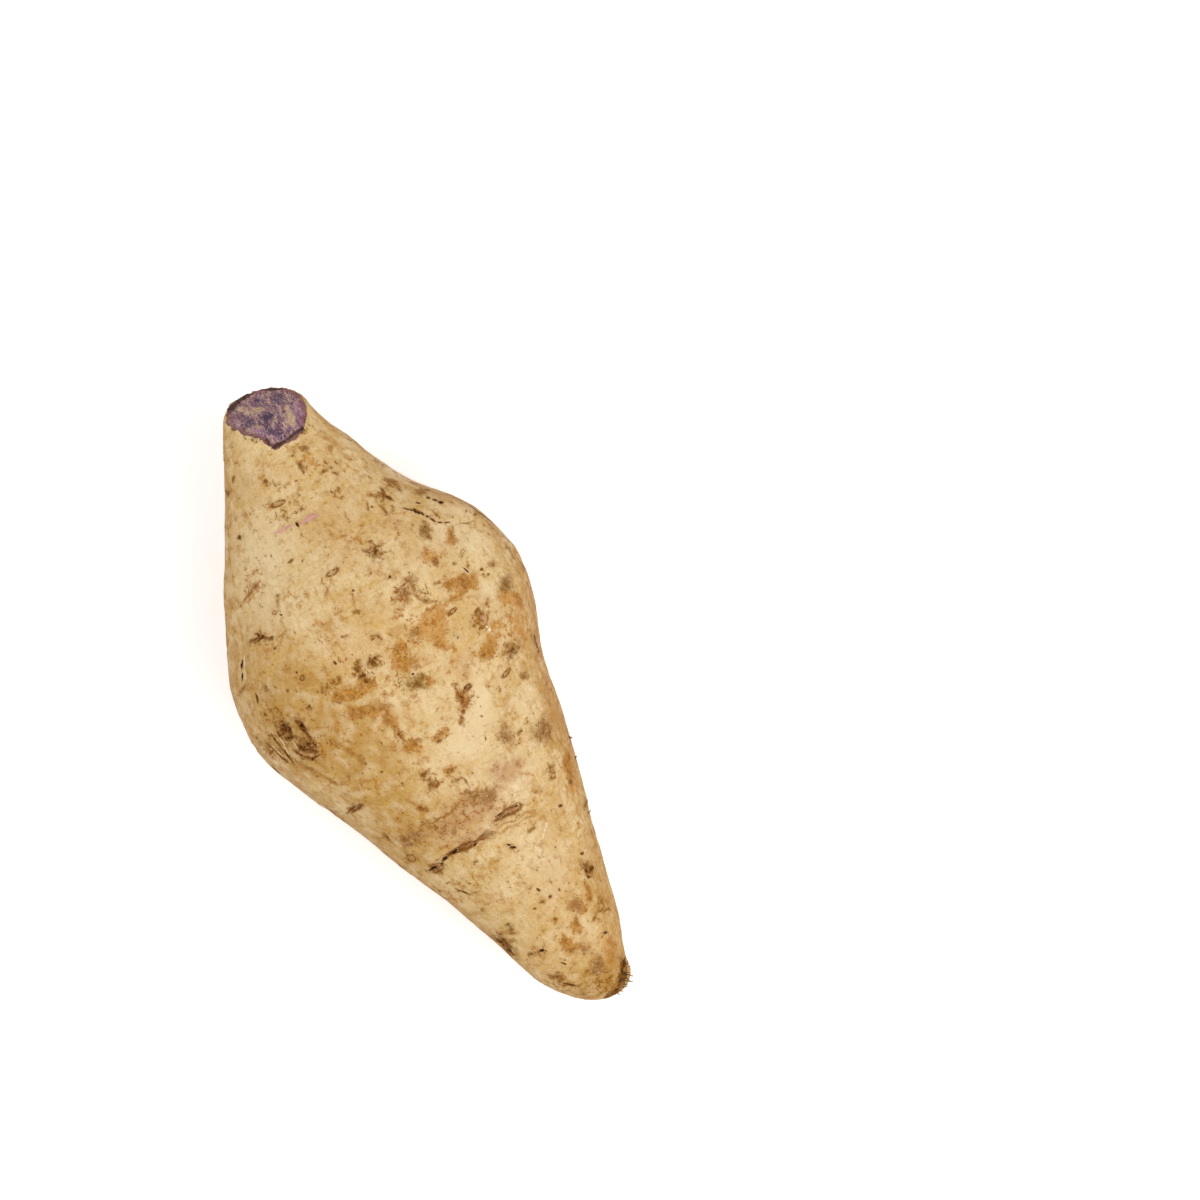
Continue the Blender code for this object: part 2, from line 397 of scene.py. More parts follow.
# Each row is a mark: right and down in pixels, length and width in millimetres, and tilt.
MARKS: dict[Blemish, tuple[Row, ...]] = {
    Blemish.RING: (
        (278, 504, 3.3, 1.4, 24), (332.6, 572.8, 3.1, 1.3, 32), (302, 678.2, 1.1, 1.6),
        (506.5, 673, 2.7, 1, 50), (452.3, 611.5, 2.1, 0.9, 42), (410.8, 858.6, 2.5, 1.7, -30),
    ),
    Blemish.SLIT: (
        (508.5, 811, 6.6, 1.7, 28), (457, 850, 5.4, 1.3, 30), (470, 844.5, 4.4, 1.2, 32),
        (484, 836.5, 3.4, 1.2, 18), (437.5, 867.5, 3.8, 2, 36), (356, 807.3, 3.5, 1.5, 32),
        (467, 686.5, 1.9, 1, 45),
    ),
    Blemish.CLEFT: (
        (455.5, 851.5, 3.6, 1, 32), (445, 858, 2, 0.8, 36), (475, 845, 1.4, 0.45, 40), (434, 869, 2, 1, 24),
        (441, 864.5, 1.3, 0.7, 40), (499, 815, 1.4, 0.4, 30), (516, 806.5, 1.2, 0.4, 25),
        (297, 524.5, 1.6, 0.6, -50), (241.7, 664.2, 2.4, 0.45, 85), (242.2, 676, 1.6, 0.45, 87),
        (541.7, 950.6, 1.2, 0.7, 20), (387, 838.2, 1.6, 0.6, -55), (465.6, 570, 1.3, 0.4, -38),
        (513, 847.5, 1.7, 0.5, 14), (509, 845, 0.8, 0.5, -40), (284.6, 727, 1.8, 0.9, -60),
        (309, 748, 2.2, 0.8, -30), (301, 726, 1.4, 0.6, -50), (411.5, 510, 0.8, 0.5, -60),
        (415, 511, 1.1, 0.6, -55), (418.5, 512.4, 1.2, 0.7, -20), (422.6, 513.6, 1, 0.6, -50),
        (427, 516.4, 0.9, 0.5, -20), (418, 502.6, 0.9, 0.45, -15), (440.5, 502.6, 1, 0.5, -20),
        (620.5, 982, 2.6, 0.9, 66), (623, 971, 2.2, 0.6, 96), (616.5, 990, 1.6, 0.6, 40),
    ),
    Blemish.LINE: (
        (463.5, 891.5, 3.2, 0.4, -25), (563, 962.7, 1.2, 0.4, -20), (257, 698, 2.2, 0.4, -80),
        (569, 999, 3, 0.5, -14),
    ),
    Blemish.DOT: (
        (232.3, 478.7, 0.8, 1.3), (227.4, 493.5, 0.9, 1.3), (265.2, 481.5, 1.1, 1),
        (292.6, 455.6, 0.7, 0.6), (296, 481, 0.6, 0.6), (303.8, 471.7, 0.6, 0.5), (371.9, 506.8, 0.6, 0.6),
        (371, 540.5, 1, 0.6), (291.2, 561.5, 1.2, 0.8, 45), (288, 690.8, 0.8, 0.8),
        (265.6, 714.7, 0.8, 0.8), (271.2, 752.6, 1.1, 0.8, 30), (382, 772.2, 0.8, 0.6),
        (365, 764, 0.8, 0.6), (474, 625.6, 0.9, 0.9), (477, 610.8, 1.3, 1.1), (483.1, 574.4, 0.6, 0.6),
        (488, 574.4, 0.6, 0.6), (475.4, 514, 1, 0.7), (466.3, 511.2, 0.5, 0.5), (484.5, 655, 0.9, 0.8),
        (481.4, 716, 0.55, 0.55), (570.5, 781, 0.9, 1.2), (535, 908.5, 0.6, 0.6), (559, 889.7, 0.5, 0.5),
        (599.3, 984.8, 0.6, 0.6), (439.6, 890.8, 0.8, 0.6), (569.8, 738, 0.9, 1), (575.2, 759, 0.9, 1),
        (586, 805, 1, 1.4), (590.3, 813.5, 0.9, 1),
    ),
    Blemish.PIT: (
        (390, 577, 0.65, 0.65), (335, 663, 0.85, 0.85), (417.2, 628.1, 0.65, 0.65), (413, 674, 0.5, 0.5),
        (582.5, 853.6, 0.7, 0.7), (589.2, 877, 0.7, 0.7), (538.3, 889.7, 0.7, 0.6),
        (550.4, 896.4, 0.8, 0.8), (605.3, 932.6, 0.7, 0.7), (238.6, 537, 1.2, 1.1),
        (296.5, 672.6, 0.5, 0.5), (353.3, 590.5, 0.55, 0.55), (481, 569.4, 0.6, 0.6),
        (560.5, 805.5, 0.9, 0.9), (281.7, 615, 0.5, 0.5),
    ),
    Blemish.SPOT: (
        (543, 901.5, 1.9, 1.3, 20), (358, 668, 1.7, 1.2, 60), (361, 673.5, 1.6, 1.3),
        (365, 681, 1.9, 1.4, -50), (354.5, 674.5, 1, 0.8), (371.5, 661, 1.9, 1.1, 40),
        (377, 656.5, 1.1, 0.8, 40), (338.5, 679.5, 1.2, 0.9, 30), (333, 684, 0.9, 0.7, 30),
        (327.5, 687, 1.2, 0.8, 30), (322, 691, 1.1, 0.9, 30), (336, 695, 1.2, 0.8, -60),
        (492.2, 564.5, 1.9, 1.4, 30), (423.5, 775, 1.9, 1.3, 40), (432, 783.8, 1.9, 1.3, 80),
        (304.5, 448.6, 1.7, 1.1), (300.3, 465.4, 1.6, 1.2), (330.5, 467.5, 1.2, 0.9),
        (392.2, 480.8, 2, 1, -15), (420, 491.6, 2.1, 1.5, -15), (278, 596, 1.2, 1.3),
        (358.2, 611.6, 1.3, 1), (343.5, 636.8, 1.4, 1.1), (309, 707, 1.2, 0.9, -45),
        (454.4, 563.8, 1.2, 1.1), (436, 561.7, 1.4, 1.2), (483.8, 525.2, 0.8, 0.7),
        (461, 720.7, 1.7, 1.1, -80), (519.3, 732.6, 1.2, 1), (550.8, 769.8, 1.3, 1.1),
        (551.5, 777.5, 1, 1.3), (531.6, 829.5, 1.2, 1.1), (600, 901, 1.7, 1.1, -60),
        (611.3, 976.8, 0.9, 0.7), (530.3, 954, 1.6, 1, 20), (482.6, 909.4, 1.3, 0.9), (476, 862, 1.1, 1),
        (524.2, 675.8, 1.8, 1.6, -60), (439, 582.8, 1.3, 1), (438.6, 741, 1.6, 1.4),
        (450, 770, 1.9, 1.2, 70), (421.7, 808.4, 2.4, 1, -5), (331.6, 811.6, 2.1, 1.2, -35),
        (266.3, 688, 1.2, 1.7), (324.2, 471, 1.3, 1), (335.4, 473, 1.1, 0.9), (511.9, 933.6, 1.7, 1.4),
        (555, 919.2, 1, 0.8),
    ),
    Blemish.SCAB: (
        (373, 661.4, 2.4, 2, 50), (288, 731, 5, 2.2, -62), (310, 748, 5.6, 2.6, -20),
        (383, 495, 2.6, 2.1, -40), (512, 649.5, 3.6, 2.6, 55), (556.4, 976.8, 1.9, 1.6),
        (507.2, 947, 6.4, 2.2, -52), (374.7, 552, 3.8, 2.6, -10), (588, 869.5, 3, 1.9, -70),
    ),
    Blemish.SCUFF: (
        (599, 964, 3.4, 2.4, -60), (597, 970, 2.4, 1.4, -60), (545.2, 726.3, 4.6, 3.6, 45),
        (506.6, 736, 4.6, 3.2, -80), (576.5, 904.4, 3.2, 3), (488, 835.4, 3.3, 1.7, 28),
        (583.2, 946.6, 2.8, 1.8), (410.8, 840.5, 5.4, 2.6, 12), (471.6, 796.4, 3, 2.2),
        (404, 592, 4.2, 3, 70), (409, 581, 3, 2.4, 20), (490, 795.5, 3.8, 3, 30),
    ),
    Blemish.MOULD: (
        (506.3, 583.5, 3.6, 2.5, 62), (415.5, 684.8, 4.2, 2.9, 10), (423.5, 531.6, 3.6, 2.2, -60),
    ),
    Blemish.CRUST: (
        (407.4, 663.5, 4.7, 3.7, -20), (400.3, 647.5, 3.1, 2.4, 20), (411.5, 746, 3.2, 2.8, -45),
        (489.4, 648, 4.4, 2.1, 75), (430, 683, 2.8, 1.7, 25), (322.4, 752.6, 3, 1.2, -80),
    ),
    Blemish.RUST: (
        (462.5, 698, 4.6, 2.3, -82), (463, 711, 1.6, 1, -70), (399.6, 735, 1.8, 1.1, -50),
        (437, 785, 1.5, 0.9, 60),
    ),
    Blemish.SCRATCH: (
        (285.5, 528.2, 4.6, 0.7, 18), (309, 517.5, 4.8, 0.9, 24), (484, 619, 2.6, 0.5, -72),
    ),
    Blemish.FLAKE: (
        (487, 626.5, 1, 0.6, -30), (489.6, 629.8, 0.8, 0.5, -70),
    ),
}

# Each row is a bent line: its width in millimetres, then its bends in pixels.
STROKES: dict[Blemish, tuple[tuple[float | Pixel, ...], ...]] = {
    Blemish.STROKE: (
        (1, (283.8, 722.4), (281.7, 728.7), (286, 735.7), (290.2, 741.4)),
        (1.1, (286, 724.5), (291.6, 732.9), (290.9, 740)),
        (0.9, (295.8, 720.3), (300.7, 725.9), (307, 734.3), (311.2, 741.4), (316.8, 747)),
        (0.6, (295.8, 752.6), (304.2, 756.8), (311.2, 758.2), (321, 755.4), (323.1, 749.8)),
        (0.9, (297.2, 749.8), (304.2, 745.6), (311.2, 742.8)),
        (0.5, (266.3, 741.4), (276.1, 752.6), (285.9, 761)),
        (0.5, (271.9, 735.7), (280.3, 747), (291.6, 761)), (0.6, (276.1, 731.5), (281.7, 738.6)),
        (1.3, (300, 748), (308, 752), (316, 750)), (0.8, (249.5, 641.7), (257, 638.5), (269.1, 635.4)),
        (0.6, (255.8, 632.6), (260.7, 638.2)), (1.7, (354.7, 668), (360, 673), (363, 679), (367.3, 684)),
        (1, (369, 663), (373, 659.5), (377, 657)), (0.7, (357, 661), (359, 666)),
        (0.8, (381, 489), (386, 495), (390, 499)), (0.7, (414, 509.5), (421, 512.5)),
        (0.6, (465, 690), (461.5, 699), (461, 706)), (0.5, (461.7, 691.2), (468.8, 684.6)),
        (0.9, (593, 866), (588, 873), (586, 869)), (0.9, (501, 940), (508, 948), (513, 955)),
        (0.6, (497, 938), (504, 947), (512, 958)), (1.5, (623, 961), (624.5, 970), (623, 979), (618, 988)),
        (0.9, (604, 998), (612, 994), (619, 988)), (0.8, (348, 811), (356, 806), (362, 804.5)),
    ),
    Blemish.LINE: (
        (0.45, (426.3, 497.2), (430, 498.4)), (0.4, (433, 499.3), (437, 501)),
        (0.35, (404.5, 508.4), (412.3, 510.5)), (0.5, (430, 518.6), (435, 521)),
        (0.45, (438, 522), (442, 522.6)), (0.4, (445, 522.8), (449, 522.2)),
        (0.35, (445.9, 495.1), (455.8, 497.9), (469.8, 505.6), (481, 513.3), (492.3, 521.7)),
        (0.5, (534.4, 634), (535.5, 641), (537.7, 651)),
    ),
    Blemish.FAINT: (
        (0.9, (243, 603), (246, 597), (252, 590), (258, 584)),
        (0.7, (395.4, 592.6), (401, 587), (406.6, 582.8)), (0.9, (403, 577.3), (410.9, 583.5), (414, 590)),
        (0.9, (412.2, 592.8), (420.6, 599.6), (434.7, 603.9)),
        (0.6, (401, 601), (403.8, 595.4), (400, 590)), (0.8, (334, 694), (336.5, 700.7), (341, 704)),
        (0.6, (367, 503), (368.5, 510)), (0.7, (391, 481), (397, 486), (400, 491)),
        (0.6, (381, 507), (388, 513.5)), (0.6, (372.9, 636.1), (377, 635), (381.4, 638.9)),
        (0.8, (245.3, 686), (242, 691), (239.6, 692.3)), (0.7, (398, 732), (401, 735.7), (404, 741)),
        (0.6, (456.1, 781), (460.3, 777.2), (463.1, 777.8), (468.8, 785.2)),
        (0.7, (425, 824), (433, 822), (441.7, 818.6), (450, 813), (455.7, 806.4)),
        (0.8, (421, 773), (425, 776), (423, 780)),
        (0.5, (592.6, 921), (597, 912.5), (604, 909.5), (610, 908.5)),
        (0.3, (459.3, 523.1), (467, 523.1), (473.3, 520.3), (478.2, 516.8)),
        (0.6, (514.7, 644.6), (512.6, 651), (508.5, 655)),
        (0.7, (478.2, 607.1), (479.2, 612.1), (483.8, 616)), (0.7, (474, 625.6), (478, 622), (479, 616)),
        (0.7, (369, 549), (376, 555), (383, 552)), (0.6, (370, 541), (377, 547), (380, 545)),
        (0.6, (598, 898), (602, 905), (600, 899)), (0.9, (553, 975), (558, 978), (562, 982)),
        (0.7, (401, 842), (411, 838), (420, 843)), (0.7, (383, 834), (389, 841)),
        (0.5, (388, 483), (392, 487), (398, 487)), (0.9, (420.7, 526.3), (425, 532), (429.1, 538.6)),
        (0.8, (378, 492), (384, 497), (382, 501)),
    ),
    Blemish.TRACE: (
        (0.7, (302.8, 765.2), (315.4, 772.2), (335, 783.5)),
        (0.7, (336, 742), (343, 748), (350, 752), (357, 758), (363, 765)),
        (0.5, (496, 834), (516, 824), (536, 813)), (0.4, (500, 826), (517, 818), (530, 811)),
    ),
    Blemish.CRACK: (
        (0.35, (280.3, 738.6), (284, 746), (287.4, 754)),
        (0.35, (271.9, 745.6), (277, 751), (281.7, 756.8)), (0.3, (293, 742), (297, 748)),
        (0.4, (547.3, 822.5), (545.5, 828), (543.8, 833), (542.6, 838.5)),
        (0.3, (244, 656), (244.6, 668), (245.5, 680)),
    ),
    Blemish.SMEAR: (
        (2, (441.7, 584.9), (457.2, 579.3), (471.2, 580.7), (475.4, 574.5)),
        (1.3, (469.8, 583.5), (461.4, 593.3), (448.8, 601.7)),
        (1.6, (349.1, 707.7), (354.7, 713.7), (365.9, 710.5), (377.1, 704.9), (388.4, 707.7)),
        (1.4, (387, 714.7), (392.6, 725.9), (401, 737.1)),
        (1.2, (450.2, 530.2), (452, 537), (455.8, 542.8)),
        (1.3, (514.7, 592.7), (518.7, 600), (521.7, 609.3)),
        (1, (567, 752.3), (567.6, 764), (568.4, 777.4)), (1.3, (562, 938), (568, 947), (574, 953)),
        (1.1, (586, 884), (590, 893), (590, 901)), (1.2, (430, 612), (434.7, 604.1)),
        (1.8, (461, 688), (464, 700), (461, 713)), (1.6, (410.9, 632.6), (420, 629)),
        (1.4, (434, 640), (441, 646)), (1, (574, 918), (579, 928), (581, 933)),
        (1.2, (404, 749), (411, 745), (418, 739)), (1, (432, 741), (438, 736), (444, 731)),
    ),
    Blemish.CRUST: (
        (2.3, (334.5, 700), (346, 696), (357, 692.5)), (2.6, (359, 683), (367, 683.5), (376, 681.5)),
    ),
}

# Each row is a soft patch: the numbers of a mark, then its strength where it isn't the usual one.
# Most are stains; some are painted shade and painted highlight.
STAINS_AND_PAINTED_LIGHT: dict[Tone, tuple[Row, ...]] = {
    Tone.GOLD: (
        # The long thin rows along the outlines, such as (242, 505), (246, 670), (535, 640), (556, 715) and
        # (600, 890), are painted shade on the flanks; the rest are golden stains.
        (335, 740, 34, 22, -35, 0.9), (300, 690, 22, 12, -50, 0.6), (242, 505, 18, 6, 88, 0.4),
        (252, 640, 16, 5, -86, 0.35), (385, 800, 30, 14, -40), (460, 825, 20, 13, 20, 0.6),
        (480, 905, 24, 10, -50, 0.55), (545, 975, 16, 8, -25, 0.35), (600, 985, 15, 10, 30, 1.3),
        (285, 760, 24, 9, -45, 0.7), (255, 700, 18, 8, -75, 0.5), (390, 850, 22, 9, -38, 0.9),
        (535, 640, 22, 8, -75), (556, 715, 20, 7, -72, 0.7), (600, 890, 24, 6, -75, 0.6),
        (246, 670, 22, 5, -80, 0.4), (330, 600, 24, 8, 10, 0.25), (560, 815, 12, 9, 20, 0.45),
        (350, 470, 16, 6, -35, 0.35), (500, 600, 9, 12, 10, 0.4),
    ),
    Tone.OCHRE: (
        (350, 697, 5, 1.6, 12, 1.2), (430, 627, 4.6, 3, 40, 1.2), (436, 612, 3, 1.6, 60, 0.9),
        (402, 662, 4.4, 3.4, -20, 1.1), (400, 646, 3.4, 2, 20, 0.9), (308, 459, 6, 4.5, -30, 0.55),
        (256, 575, 5, 3.5, 70, 0.4), (254, 588, 5, 4, 40, 0.35), (248, 599, 6, 2, 55, 0.6),
        (265.6, 650, 3, 2.6, -60, 0.75), (300.7, 595, 4, 2, 10, 0.4), (356, 538, 4.6, 3, -20, 0.45),
        (429, 555, 4.6, 3.4, 20), (449.5, 537, 5.6, 2, -75, 0.75), (470, 582, 4.2, 3, 20, 0.95),
        (452, 583, 6.5, 1.7, 20, 0.85), (456, 598, 5.4, 1.7, 50, 0.85), (431.9, 624, 7.6, 6.2, 40, 1),
        (441.7, 640, 3.5, 2.4, -20, 0.75), (489.4, 648, 5.2, 2.6, 78, 0.9), (451.6, 659, 8, 2, 85, 0.55),
        (371.5, 684, 4.2, 2, 22, 0.85), (346, 696.5, 7.2, 2.3, 12, 1), (366, 711.5, 8.6, 2, 5, 0.85),
        (394, 723, 3.6, 1.7, -50, 0.75), (412, 746, 4.2, 3.4, -40), (438.6, 737, 3.4, 2.8, 20, 0.7),
        (360, 782, 9, 2.6, 0, 0.45), (340, 735, 11, 6, -20, 0.4), (322.4, 752.6, 3.4, 1.5, -80, 1),
        (450, 770, 5, 2, 70, 0.7), (503.5, 594.7, 3, 2.5, 0, 0.75), (516, 600, 5, 2.4, -68, 0.85),
        (519, 625, 9, 3.2, -75, 0.7), (499, 628, 5, 5, 0, 0.55), (568, 766, 7, 1.7, -78, 0.9),
        (571, 787, 5, 2, -75, 0.75), (590, 893, 3.6, 1.4, -80, 0.9), (576.5, 904, 4, 3.6, 0, 0.85),
        (579, 927, 3.4, 2, -70, 0.85), (567, 945, 4.4, 1.8, -50, 0.85), (583, 947, 3.2, 2.2, 0, 0.75),
        (607, 950, 8, 3, -80, 0.55), (470, 815, 7, 4, 30, 0.4), (405, 600, 6, 4, 80, 0.5),
        (422, 808, 3.2, 1.7, 0, 0.7), (325, 640, 13, 2.4, 6, 0.3), (345, 655, 10, 3, 10, 0.3),
        (310, 622, 10, 2.2, 8, 0.28), (455, 900, 11, 5, -30, 0.35), (305, 665, 8, 4, 0, 0.25),
    ),
    Tone.BROWN: (
        (302, 433, 5.4, 1.6, 38, 0.75), (472, 802, 9, 4, 10, 0.4), (452, 828, 9, 3, 20, 0.45),
        # (462, 500), (486, 519) and (507, 547) are painted shade: a thin dark line along the right
        # shoulder's outline.
        (428, 826, 6, 3.4, 10, 0.5), (262, 442, 3.4, 1.6, -30, 0.6), (462, 500, 9, 1.3, -22),
        (486, 519, 8, 1.1, -42, 0.7), (507, 547, 8, 1, -54, 0.6), (622, 975, 6.4, 2, 84, 1),
        (614, 991, 4.6, 2.2, 40, 0.9), (297, 505, 4.6, 3.2, 10, 0.55), (284, 518, 4.4, 3, 20, 0.5),
        (334.7, 490.7, 3.4, 2.6, 0, 0.5), (331, 464, 5, 3, -40, 0.45), (274, 485, 4.4, 2.6, 0, 0.4),
        (392, 481, 3, 1.7, -20), (388, 486, 2.4, 1.8, 30, 0.7), (383, 497, 3.6, 3, -20, 0.6),
        (384, 510.3, 2.6, 1.7, -40, 0.65), (420, 491.6, 3, 2.2, 0), (434, 520, 4.6, 2.2, -25, 0.4),
        (374.7, 551, 5, 3.8, 0, 0.6), (408, 580, 4.2, 3.8, 0, 0.4), (402.4, 594.7, 4.6, 3.2, 80, 0.4),
        (419, 593, 4.2, 2, -35, 0.7), (461, 554, 3, 1.5, -45, 0.5), (479, 614, 4, 3.4, -60, 0.55),
        (477, 627, 3.4, 3, 0, 0.55), (485, 608, 6, 3.4, -60, 0.4), (400.3, 648, 3.6, 3, 0),
        (360, 672, 5.6, 4.6, -60, 0.6), (373, 661, 2.8, 2.6, 0, 0.6), (329, 687, 3.6, 2.2, 40, 0.6),
        (246, 688, 2.8, 1.8, 0, 0.55), (260, 638, 5.2, 2.6, 22, 0.5), (464.5, 698, 6.2, 3.6, -80, 0.85),
        (461, 719, 3.2, 1.9, -80, 0.6), (506.6, 736, 5.2, 4, 0, 0.45), (545, 726, 5.2, 4.2, 40, 0.45),
        (512, 650, 4.6, 3.8, 40, 0.6), (499, 690, 3, 2, 0, 0.3), (399.6, 735, 3, 2.4, -45, 0.7),
        (423.5, 775, 2.6, 2.2, 0, 0.65), (432, 784, 3.2, 2.2, 80, 0.6), (460, 779, 3.4, 2.2, 0, 0.6),
        (490, 796, 4.8, 3.6, 0, 0.35), (471.6, 796, 3.8, 2.8, 0, 0.5), (455.7, 807, 4.2, 2.2, 70, 0.5),
        (410.8, 841, 6.6, 3.6, 10, 0.6), (388, 838, 3.2, 2.2, -40, 0.5), (410.8, 858, 3.2, 2.5, -30, 0.6),
        (288, 733, 11, 9, -50, 0.55), (308, 745, 6.6, 6, -50, 0.65), (268, 749, 7.5, 3.6, -42, 0.6),
        (279, 716, 4, 2.4, 60, 0.5), (319, 776, 8, 1.8, -27, 0.5), (350, 752, 9, 1.6, -36, 0.45),
        (356, 807, 4.8, 2.6, 32, 0.65), (331.6, 811.6, 3, 2, -35, 0.55), (551, 772, 3.2, 2.4, -80, 0.5),
        (588, 871, 4.2, 2.6, -75), (600, 901, 2.6, 2, -60, 0.55), (601, 912, 6, 1.8, 40, 0.5),
        (599, 966, 4.8, 3.6, -70, 0.7), (558, 978, 4.4, 2.6, -20, 0.65), (531, 954, 2.8, 2, 20, 0.6),
        (542, 951, 2.6, 1.8, 20, 0.5), (507, 947, 7.4, 3.2, -52, 0.75), (601, 984, 9, 6, 20, 0.55),
        (575, 992, 9, 3.6, -15, 0.5), (618, 990, 5, 3.2, 30, 0.6), (464, 888, 5.4, 3.6, -20, 0.4),
        (438, 867, 4.8, 3.2, 33, 0.7), (460, 850, 9.6, 2.2, 28, 0.7), (508.5, 811, 8, 3, 28, 0.6),
        (511.6, 847.5, 3.2, 2.2, 10, 0.5), (534.6, 641, 6.4, 1.3, -73, 0.7),
        (276, 610, 3.4, 1.9, -70, 0.35), (586, 808, 4, 1.8, -65, 0.55), (572, 748, 5, 1.6, -72, 0.5),
    ),
    Tone.OLIVE: (
        (324.2, 471, 2, 1.7, 0, 0.6), (335.4, 473, 1.8, 1.5, 0, 0.5), (423.5, 531.6, 4, 2.8, -60),
        (506.3, 583.5, 4, 3.2, 60, 0.85), (416, 684.6, 5, 3.6, 0), (377, 635.4, 3.2, 1.7, -20, 0.6),
        (266.3, 688, 2.4, 1.8, 80, 0.65), (282, 748, 3.4, 3, 0, 0.6), (296, 738, 3, 2.4, 0, 0.5),
        (456.5, 635.4, 2.6, 1.8, 0, 0.5), (507, 926.5, 2.6, 1.9, 0, 0.5), (511.6, 933, 2.8, 2.2, 0, 0.6),
        (256, 441, 5, 1.8, -8, 0.6), (300, 433, 3, 1.6, 40, 0.5), (543.3, 901.8, 2, 1.6, 0, 0.5),
        (270, 700, 8, 5, -60, 0.3),
    ),
    Tone.PALE: (
        # These rows are partly paler skin and partly painted highlight, where the top catches the most
        # light.
        (473, 715, 15, 8.5, -72, 0.75), (458, 745, 12, 8, -50, 0.6), (437, 700, 9, 5, 60, 0.4),
        (405, 617, 5, 3.6, -30, 0.7), (443, 655, 5.5, 3, 60, 0.5), (462, 513, 8, 3, -15, 0.6),
        (486, 590, 5, 3.6, -60, 0.7), (395, 703, 6, 4, -30, 0.7), (386, 600, 6, 6, 0, 0.35),
        (535, 850, 13, 9, -60, 0.5), (517, 788, 7, 3.6, 20, 0.7), (560, 880, 9, 6, -60, 0.5),
        (585, 920, 6, 4, -60, 0.5), (500, 880, 9, 6, -50, 0.4), (250, 470, 9, 5, 80, 0.5),
        (480, 700, 12, 6, -80, 0.6), (533, 700, 9, 4, -70, 0.45), (440, 780, 9, 5, -40, 0.4),
        (480, 835, 8, 4, 20, 0.4), (342, 512, 7, 4, -30, 0.35), (262, 590, 22, 9, -85, 0.6),
        (262, 545, 18, 10, 85, 0.4), (440, 532, 10, 6, -25, 0.75), (412, 560, 12, 7, -30, 0.45),
        (310, 560, 20, 12, 10, 0.3), (360, 640, 12, 6, 0, 0.35), (470, 545, 9, 6, -40, 0.35),
    ),
    Tone.MAUVE: (
        (452, 826, 13, 5.6, 20, 0.75), (478, 806, 13, 6, 10), (505, 775, 9, 6, 40, 0.6),
        (468, 840, 9, 2.4, 25), (385, 570, 9, 5, -20, 0.45), (474, 796, 3.4, 3, 0, 0.6),
        (512, 765, 9, 5.4, 20, 0.65), (490, 801, 4.6, 3.2, 0, 0.5), (483.5, 618, 3.4, 1.8, -72, 0.6),
        (378, 543, 2.6, 2, 0, 0.5), (271.5, 611, 3.4, 1.8, -80, 0.5), (548, 865, 11, 8, -60, 0.35),
        (590, 950, 9, 6, -60, 0.35), (403, 594, 4.4, 3.4, 0, 0.6), (301, 523, 9.5, 2.6, 22, 0.5),
        (462, 668, 9, 4, 80, 0.4),
    ),
    Tone.STREAK: (
        # These rows follow the outline on both sides: painted shade on the flanks, broken up like lengthwise
        # streaks.
        (527, 590, 12, 5, -62, 0.75), (540, 648, 22, 5, -74, 0.95), (557, 720, 20, 5, -70, 0.95),
        (577, 800, 22, 3.6, -72, 0.7), (601, 895, 22, 4.2, -74, 0.85), (614, 950, 12, 3.6, -80, 0.75),
        (332, 441, 15, 3, -40, 0.7), (372, 473, 12, 2.2, -30, 0.55), (230, 540, 20, 2.4, 88, 0.5),
        (240, 690, 20, 2.6, -75, 0.45), (290, 785, 20, 2.6, -45, 0.5), (500, 510, 14, 3, -48, 0.45),
    ),
}


# Where the chip tore the flesh open past its flat face: the strength is how far, in millimetres.
TORN_LOBES = (
    (276, 441, 3.6, 2.4, 20, 1.1), (268, 437, 2.4, 2, 0, 0.6), (294, 430, 4.6, 2.4, 35, 0.55),
    (307, 434, 2.4, 2, 0, -0.45), (306, 413, 3.4, 2, 90, 0.5), (252, 441, 4.2, 1.8, -12, -0.4),
    (245, 431, 4, 1.6, -30, 0.3),
)


class FleshTone(Enum):
    """The tones of the cut flesh, by the name of the map that holds each one."""

    DEEP = "flesh_deep"
    CREAM = "flesh_cream"
    LILAC = "flesh_lilac"
    DARK = "flesh_dark"


FLESH_STAINS: dict[FleshTone, tuple[Row, ...]] = {
    FleshTone.DEEP: (
        (257, 399, 1.7, 1.5, 60, 0.9), (278, 398, 3.4, 2.4, 10), (269, 415, 3.4, 2.4, 20, 1),
        (251, 421, 2.6, 1.9, 20), (242, 415, 2, 1.4, 0, 0.7), (245, 405, 1.8, 1.2, 30, 0.6),
        (269, 429, 4.4, 1.5, -55, 0.9), (280, 434, 4.2, 1.6, -55), (282, 420, 2.6, 1.1, -50, 0.7),
        (291, 402, 1.6, 1.2, 0, 0.7),
    ),
    FleshTone.CREAM: (
        (289, 412, 6, 1.4, -70, 1), (284, 424, 3.4, 0.9, -55, 0.7), (261, 408, 4.6, 1.6, 25, 0.7),
        (250, 411, 3, 1.4, 10, 0.7), (287, 396, 2.6, 1, -60, 0.7), (268, 394, 2.4, 1.2, 10, 0.6),
        (239, 408, 1.6, 1.2, 30, 1), (257, 426, 2.2, 1.2, 0, 0.6),
    ),
    FleshTone.LILAC: (
        (297, 412, 5.4, 2.6, -65, 0.95), (292, 426, 3.6, 2.6, 20, 0.7), (260, 431, 5, 1.8, -10, 0.7),
        (237, 422, 3.4, 1.3, -50, 0.7), (275, 436, 4.4, 2, -55, 0.6),
    ),
    FleshTone.DARK: (
        (232, 408, 2.6, 1.3, 45, 0.9), (277, 445, 3.4, 0.9, 22, 1), (291, 436, 4.6, 0.9, 38, 0.9),
        (267, 441, 2.4, 0.8, -60), (301, 429, 3, 0.9, 40, 0.6), (237, 402, 4, 0.9, 46, 1.1),
        (247, 394.5, 4.4, 0.8, 34, 1.1), (259, 390, 4, 0.7, 18, 1.1), (273, 389, 5, 0.6, 2, 1),
    ),
}


